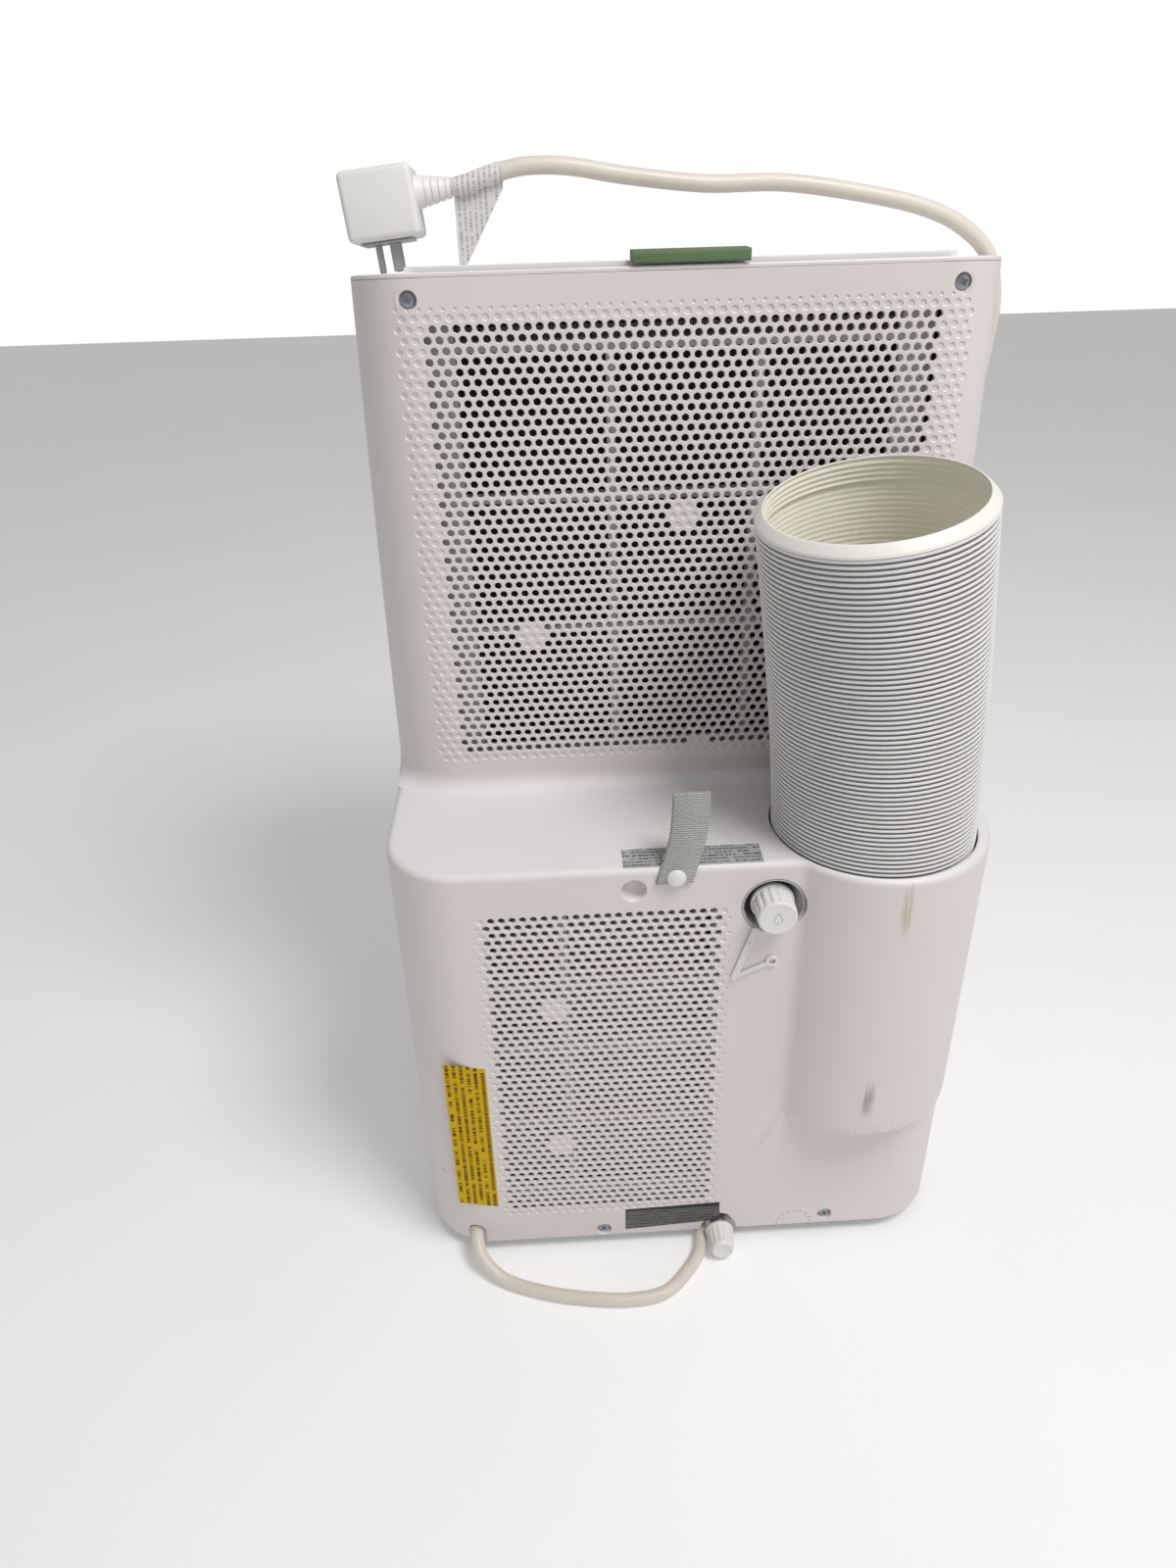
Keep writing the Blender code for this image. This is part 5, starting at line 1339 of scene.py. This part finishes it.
def make_tag():
    """A folded film tag round the cord: a sleeve, and a flag that hangs from it."""
    line = smooth_line(CORD_ROUTE)
    along = [p for p in line if 0.1185 <= p.x <= 0.1525 and p.z > TOP_Z]
    loops = []
    for i, point in enumerate(along):
        ahead, behind = along[min(i + 1, len(along) - 1)], along[max(i - 1, 0)]
        _, side, up = ring_basis(ahead - behind)
        loops.append(circle(point, side, up, CORD_D / 2 + 0.0004, 24))
    sleeve = loft(loops)
    flag = [(0.1530, 0.8060), (0.1482, 0.8060), (0.1400, 0.8190), (0.1280, 0.8390), (0.1190, 0.8540),
            (0.1186, 0.8640), (0.1350, 0.8590), (0.1530, 0.8530)]
    flap = prism(flag, -0.0118, -0.0112)
    tag = mesh_object("cord_label", merged(sleeve, flap), "tag", close=False)
    return settle(tag, "tag_film", "housing", "cord_tag")


# ---------------------------------------------------------------- top, base and inside

def make_top_fittings():
    x0, x1, y0, y1 = OUTLET_WINDOW
    flap = [(y0 + 0.0032, -0.0036), (LOUVER_AXIS[1], -0.0036)]
    flap += arc(LOUVER_AXIS[1], LOUVER_AXIS[2], 0.0018, -90, 90, 8)
    flap += [(y0 + 0.0036, 0.0), (y0 + 0.0030, -0.0006)]
    flap = moved(prism(flap, x0 + 0.0015, x1 - 0.0015, "X"), TOP_FRAME)
    louver = mesh_object("louver_panel", flap, "casing")
    settle(louver, "white_plastic", "louver", "louver_flap")
    x0, x1, y0, y1 = PANEL_WINDOW
    plate = soften(box(x0 + GAP, x1 - GAP, y0 + GAP, y1 - GAP, -0.0110, 0.0), 0.0006)
    panel = solid("panel_plate", moved(plate, TOP_FRAME), "grey")
    middle = (y0 + y1) / 2
    spots = (-0.100, -0.066, 0.034, 0.067, 0.100)
    for x in spots:
        cut(panel, moved(turned(((0, -0.0070), (0.0096, -0.0070), (0.0096, -0.0006), (0.0102, 0.0001),
                                 (0.0102, 0.01), (0, 0.01)), (x, middle, 0), UP, 40), TOP_FRAME))
    cut(panel, moved(box(-0.0490, 0.0170, y0 + 0.0140, y1 - 0.0140, -0.0020, 0.01), TOP_FRAME))
    settle(panel, "grey_plastic", "housing", "control_panel")
    film = moved(soften(box(-0.0487, 0.0167, y0 + 0.0143, y1 - 0.0143, -0.0017, 0.0), 0.0003), TOP_FRAME)
    settle(mesh_object("display_glass", film, "glass"), "display_film", "housing", "display_window")
    keys = (("button_power", "power_key"), ("button_mode", "mode_key"), ("button_fan_speed", "fan_key"),
            ("button_down", "down_key"), ("button_up", "up_key"))
    for (node, body), x in zip(keys, spots):
        profile = ((0, -0.0050), (0.0090, -0.0050), (0.0090, 0.0002), (0.0087, 0.0008), (0.0080, 0.0012),
                   (0.0060, 0.0010), (0.0030, 0.0007), (0, 0.0006))
        cap = mesh_object(node + "_cap", moved(turned(profile, (x, middle, 0), UP, 40), TOP_FRAME), "white")
        settle(cap, "white_plastic", body, node)


CASTER_SPOTS = ((0.175, -0.160), (-0.175, -0.160), (0.172, 0.118), (-0.172, 0.118))


def make_casters():
    half, outer = 0.009, 0.0120
    for number, (x, y) in enumerate(CASTER_SPOTS, 1):
        back = y - 0.009
        fork = solid(f"caster_{number}_yoke", turned(
            ((0, 0), (0.0146, 0), (0.0150, 0.0005), (0.0150, 0.0030), (0.0142, 0.0035), (0.0040, 0.0035),
             (0.0040, 0.0180), (0.0034, 0.0190), (0, 0.0190)), (x, y, 0.0420), UP, 40), "dark")
        for side in (-1, 1):
            a, b = sorted((x + side * (half + 0.0008), x + side * outer))
            cheek = [(y + 0.006, 0.0425), (y - 0.014, 0.0425), (back - 0.006, 0.0180)]
            cheek += arc(back, 0.0180, 0.006, 180, 360, 12)[1:]
            join(fork, soften(prism(cheek, a, b, "X"), 0.0004))
        cut(fork, rod((x - 0.03, back, 0.018), (x + 0.03, back, 0.018), 0.0029))
        settle(fork, "dark_plastic", f"swivel_{number}", f"caster_{number}_fork")
        profile = ((0, -outer), (0.0025, -outer), (0.0025, -half), (0.0070, -half), (0.0078, -half + 0.0012),
                   (0.0125, -half + 0.0012), (0.0132, -half), (0.0160, -half), (0.0174, -half + 0.0008),
                   (0.0180, -half + 0.0026), (0.0180, half - 0.0026), (0.0174, half - 0.0008), (0.0160, half),
                   (0.0132, half), (0.0125, half - 0.0012), (0.0078, half - 0.0012), (0.0070, half),
                   (0.0025, half), (0.0025, outer), (0, outer))
        wheel = mesh_object(f"caster_{number}_tyre", turned(profile, (x, back, 0.018), (1, 0, 0), 48), "tyre")
        settle(wheel, "tyre_rubber", f"roller_{number}", f"caster_{number}_wheel")


def dress_nodes():
    """Finishes for the CAD parts that show as they are."""
    looks = {
        "grey": ("base_pan", "grip_cup_left", "grip_cup_right", "outlet_frame", "drain_tray", "outlet_vane_1",
                 "outlet_vane_2", "outlet_vane_3"),
        "filter": ("upper_filter_frame", "lower_filter"),
        "screen": ("upper_filter_mesh",),
        "steel": ("compressor", "condenser_fan_motor", "evaporator_fan_motor"),
        "fins": ("condenser_coil", "evaporator_coil"),
        "dark": ("condenser_fan_wheel", "evaporator_fan_wheel"),
    }
    for look, names in looks.items():
        for name in names:
            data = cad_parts[name].data
            data.materials.clear()
            data.materials.append(MATERIALS[look])


# ---------------------------------------------------------------- stage

def make_stage():
    bpy.ops.mesh.primitive_plane_add(size=14, location=(0, 0, 0))
    floor = bpy.context.object
    floor.name = "stage_floor"
    net = Net("stage_pale", 0.85)
    net.colour(net.mix(net.between(net.noise(3.0), 0.3, 0.7), (0.93, 0.93, 0.93), (0.91, 0.91, 0.91)))
    net.feed(net.shader.inputs["Emission Color"], (1.0, 1.0, 1.0))
    net.feed(net.shader.inputs["Emission Strength"], 0.12)
    floor.data.materials.append(net.material)
    world = bpy.data.worlds.new("studio")
    bpy.context.scene.world = world
    world.use_nodes = True
    tree = world.node_tree
    # The camera sees a plain white world, brighter than the one that lights the object
    soft, seen = tree.nodes["Background"], tree.nodes.new("ShaderNodeBackground")
    for node, strength in ((soft, 0.39), (seen, 1.0)):
        node.inputs["Color"].default_value = (1.0, 1.0, 1.0, 1.0)
        node.inputs["Strength"].default_value = strength
    path, blend = tree.nodes.new("ShaderNodeLightPath"), tree.nodes.new("ShaderNodeMixShader")
    tree.links.new(path.outputs["Is Camera Ray"], blend.inputs[0])
    tree.links.new(soft.outputs[0], blend.inputs[1])
    tree.links.new(seen.outputs[0], blend.inputs[2])
    tree.links.new(blend.outputs[0], tree.nodes["World Output"].inputs["Surface"])
    lights = (
        ("ceiling", (-0.75, 0.95, 2.35), (0.0, 0.1, 0.45), 0.9, 31, (1.0, 0.99, 0.975)),
        ("fill", (-1.6, 1.9, 1.2), (0.0, 0.1, 0.4), 1.6, 2, (1.0, 1.0, 1.0)),
    )
    for name, place, target, size, power, colour in lights:
        data = bpy.data.lights.new(name, "AREA")
        data.shape = "DISK"
        data.size, data.energy, data.color = size, power, colour
        lamp = placed(name, data)
        lamp.location = place
        lamp.rotation_euler = (Vector(target) - Vector(place)).to_track_quat("-Z", "Y").to_euler()
    data = bpy.data.cameras.new("camera")
    data.lens, data.sensor_width = 24.210, 36.0
    camera = placed("camera", data)
    camera.location = (0.10126, 0.82860, 0.85511)
    camera.rotation_euler = (math.radians(60.3532), math.radians(1.4140), math.radians(177.1881))
    bpy.context.scene.camera = camera
    bpy.context.scene.view_settings.view_transform = "Standard"


MATERIALS = make_materials()
make_stage()
cord, cord_line = make_cord()
plug_pieces = make_plug()
tag = make_tag()
length = sum((b - a).length for a, b in zip(cord_line, cord_line[1:]))
print("cord length", round(length, 4))
make_rear_shell()
make_upper_field()
make_lower_field()
make_front_shell()
make_lid()
for names, spots in ((("upper_screw_left", "upper_screw_right"), UPPER_SCREWS),
                     (("lower_screw_left", "lower_screw_right"), LOWER_SCREWS)):
    for node_name, (sx, sz) in zip(names, spots):
        upper = sz > SHELF_Z
        surface = tower_place(sx, sz).y - UPPER_SEAT if upper else LOWER_REAR - LOWER_SEAT
        make_screw(node_name + "_head", node_name, sx, sz, surface + GAP)
make_hose()
make_cuff()
make_well()
make_upper_drain()
make_tether()
make_lower_cap()
make_strap()
make_stickers()
make_filter_tab()
make_top_fittings()
make_casters()
dress_nodes()
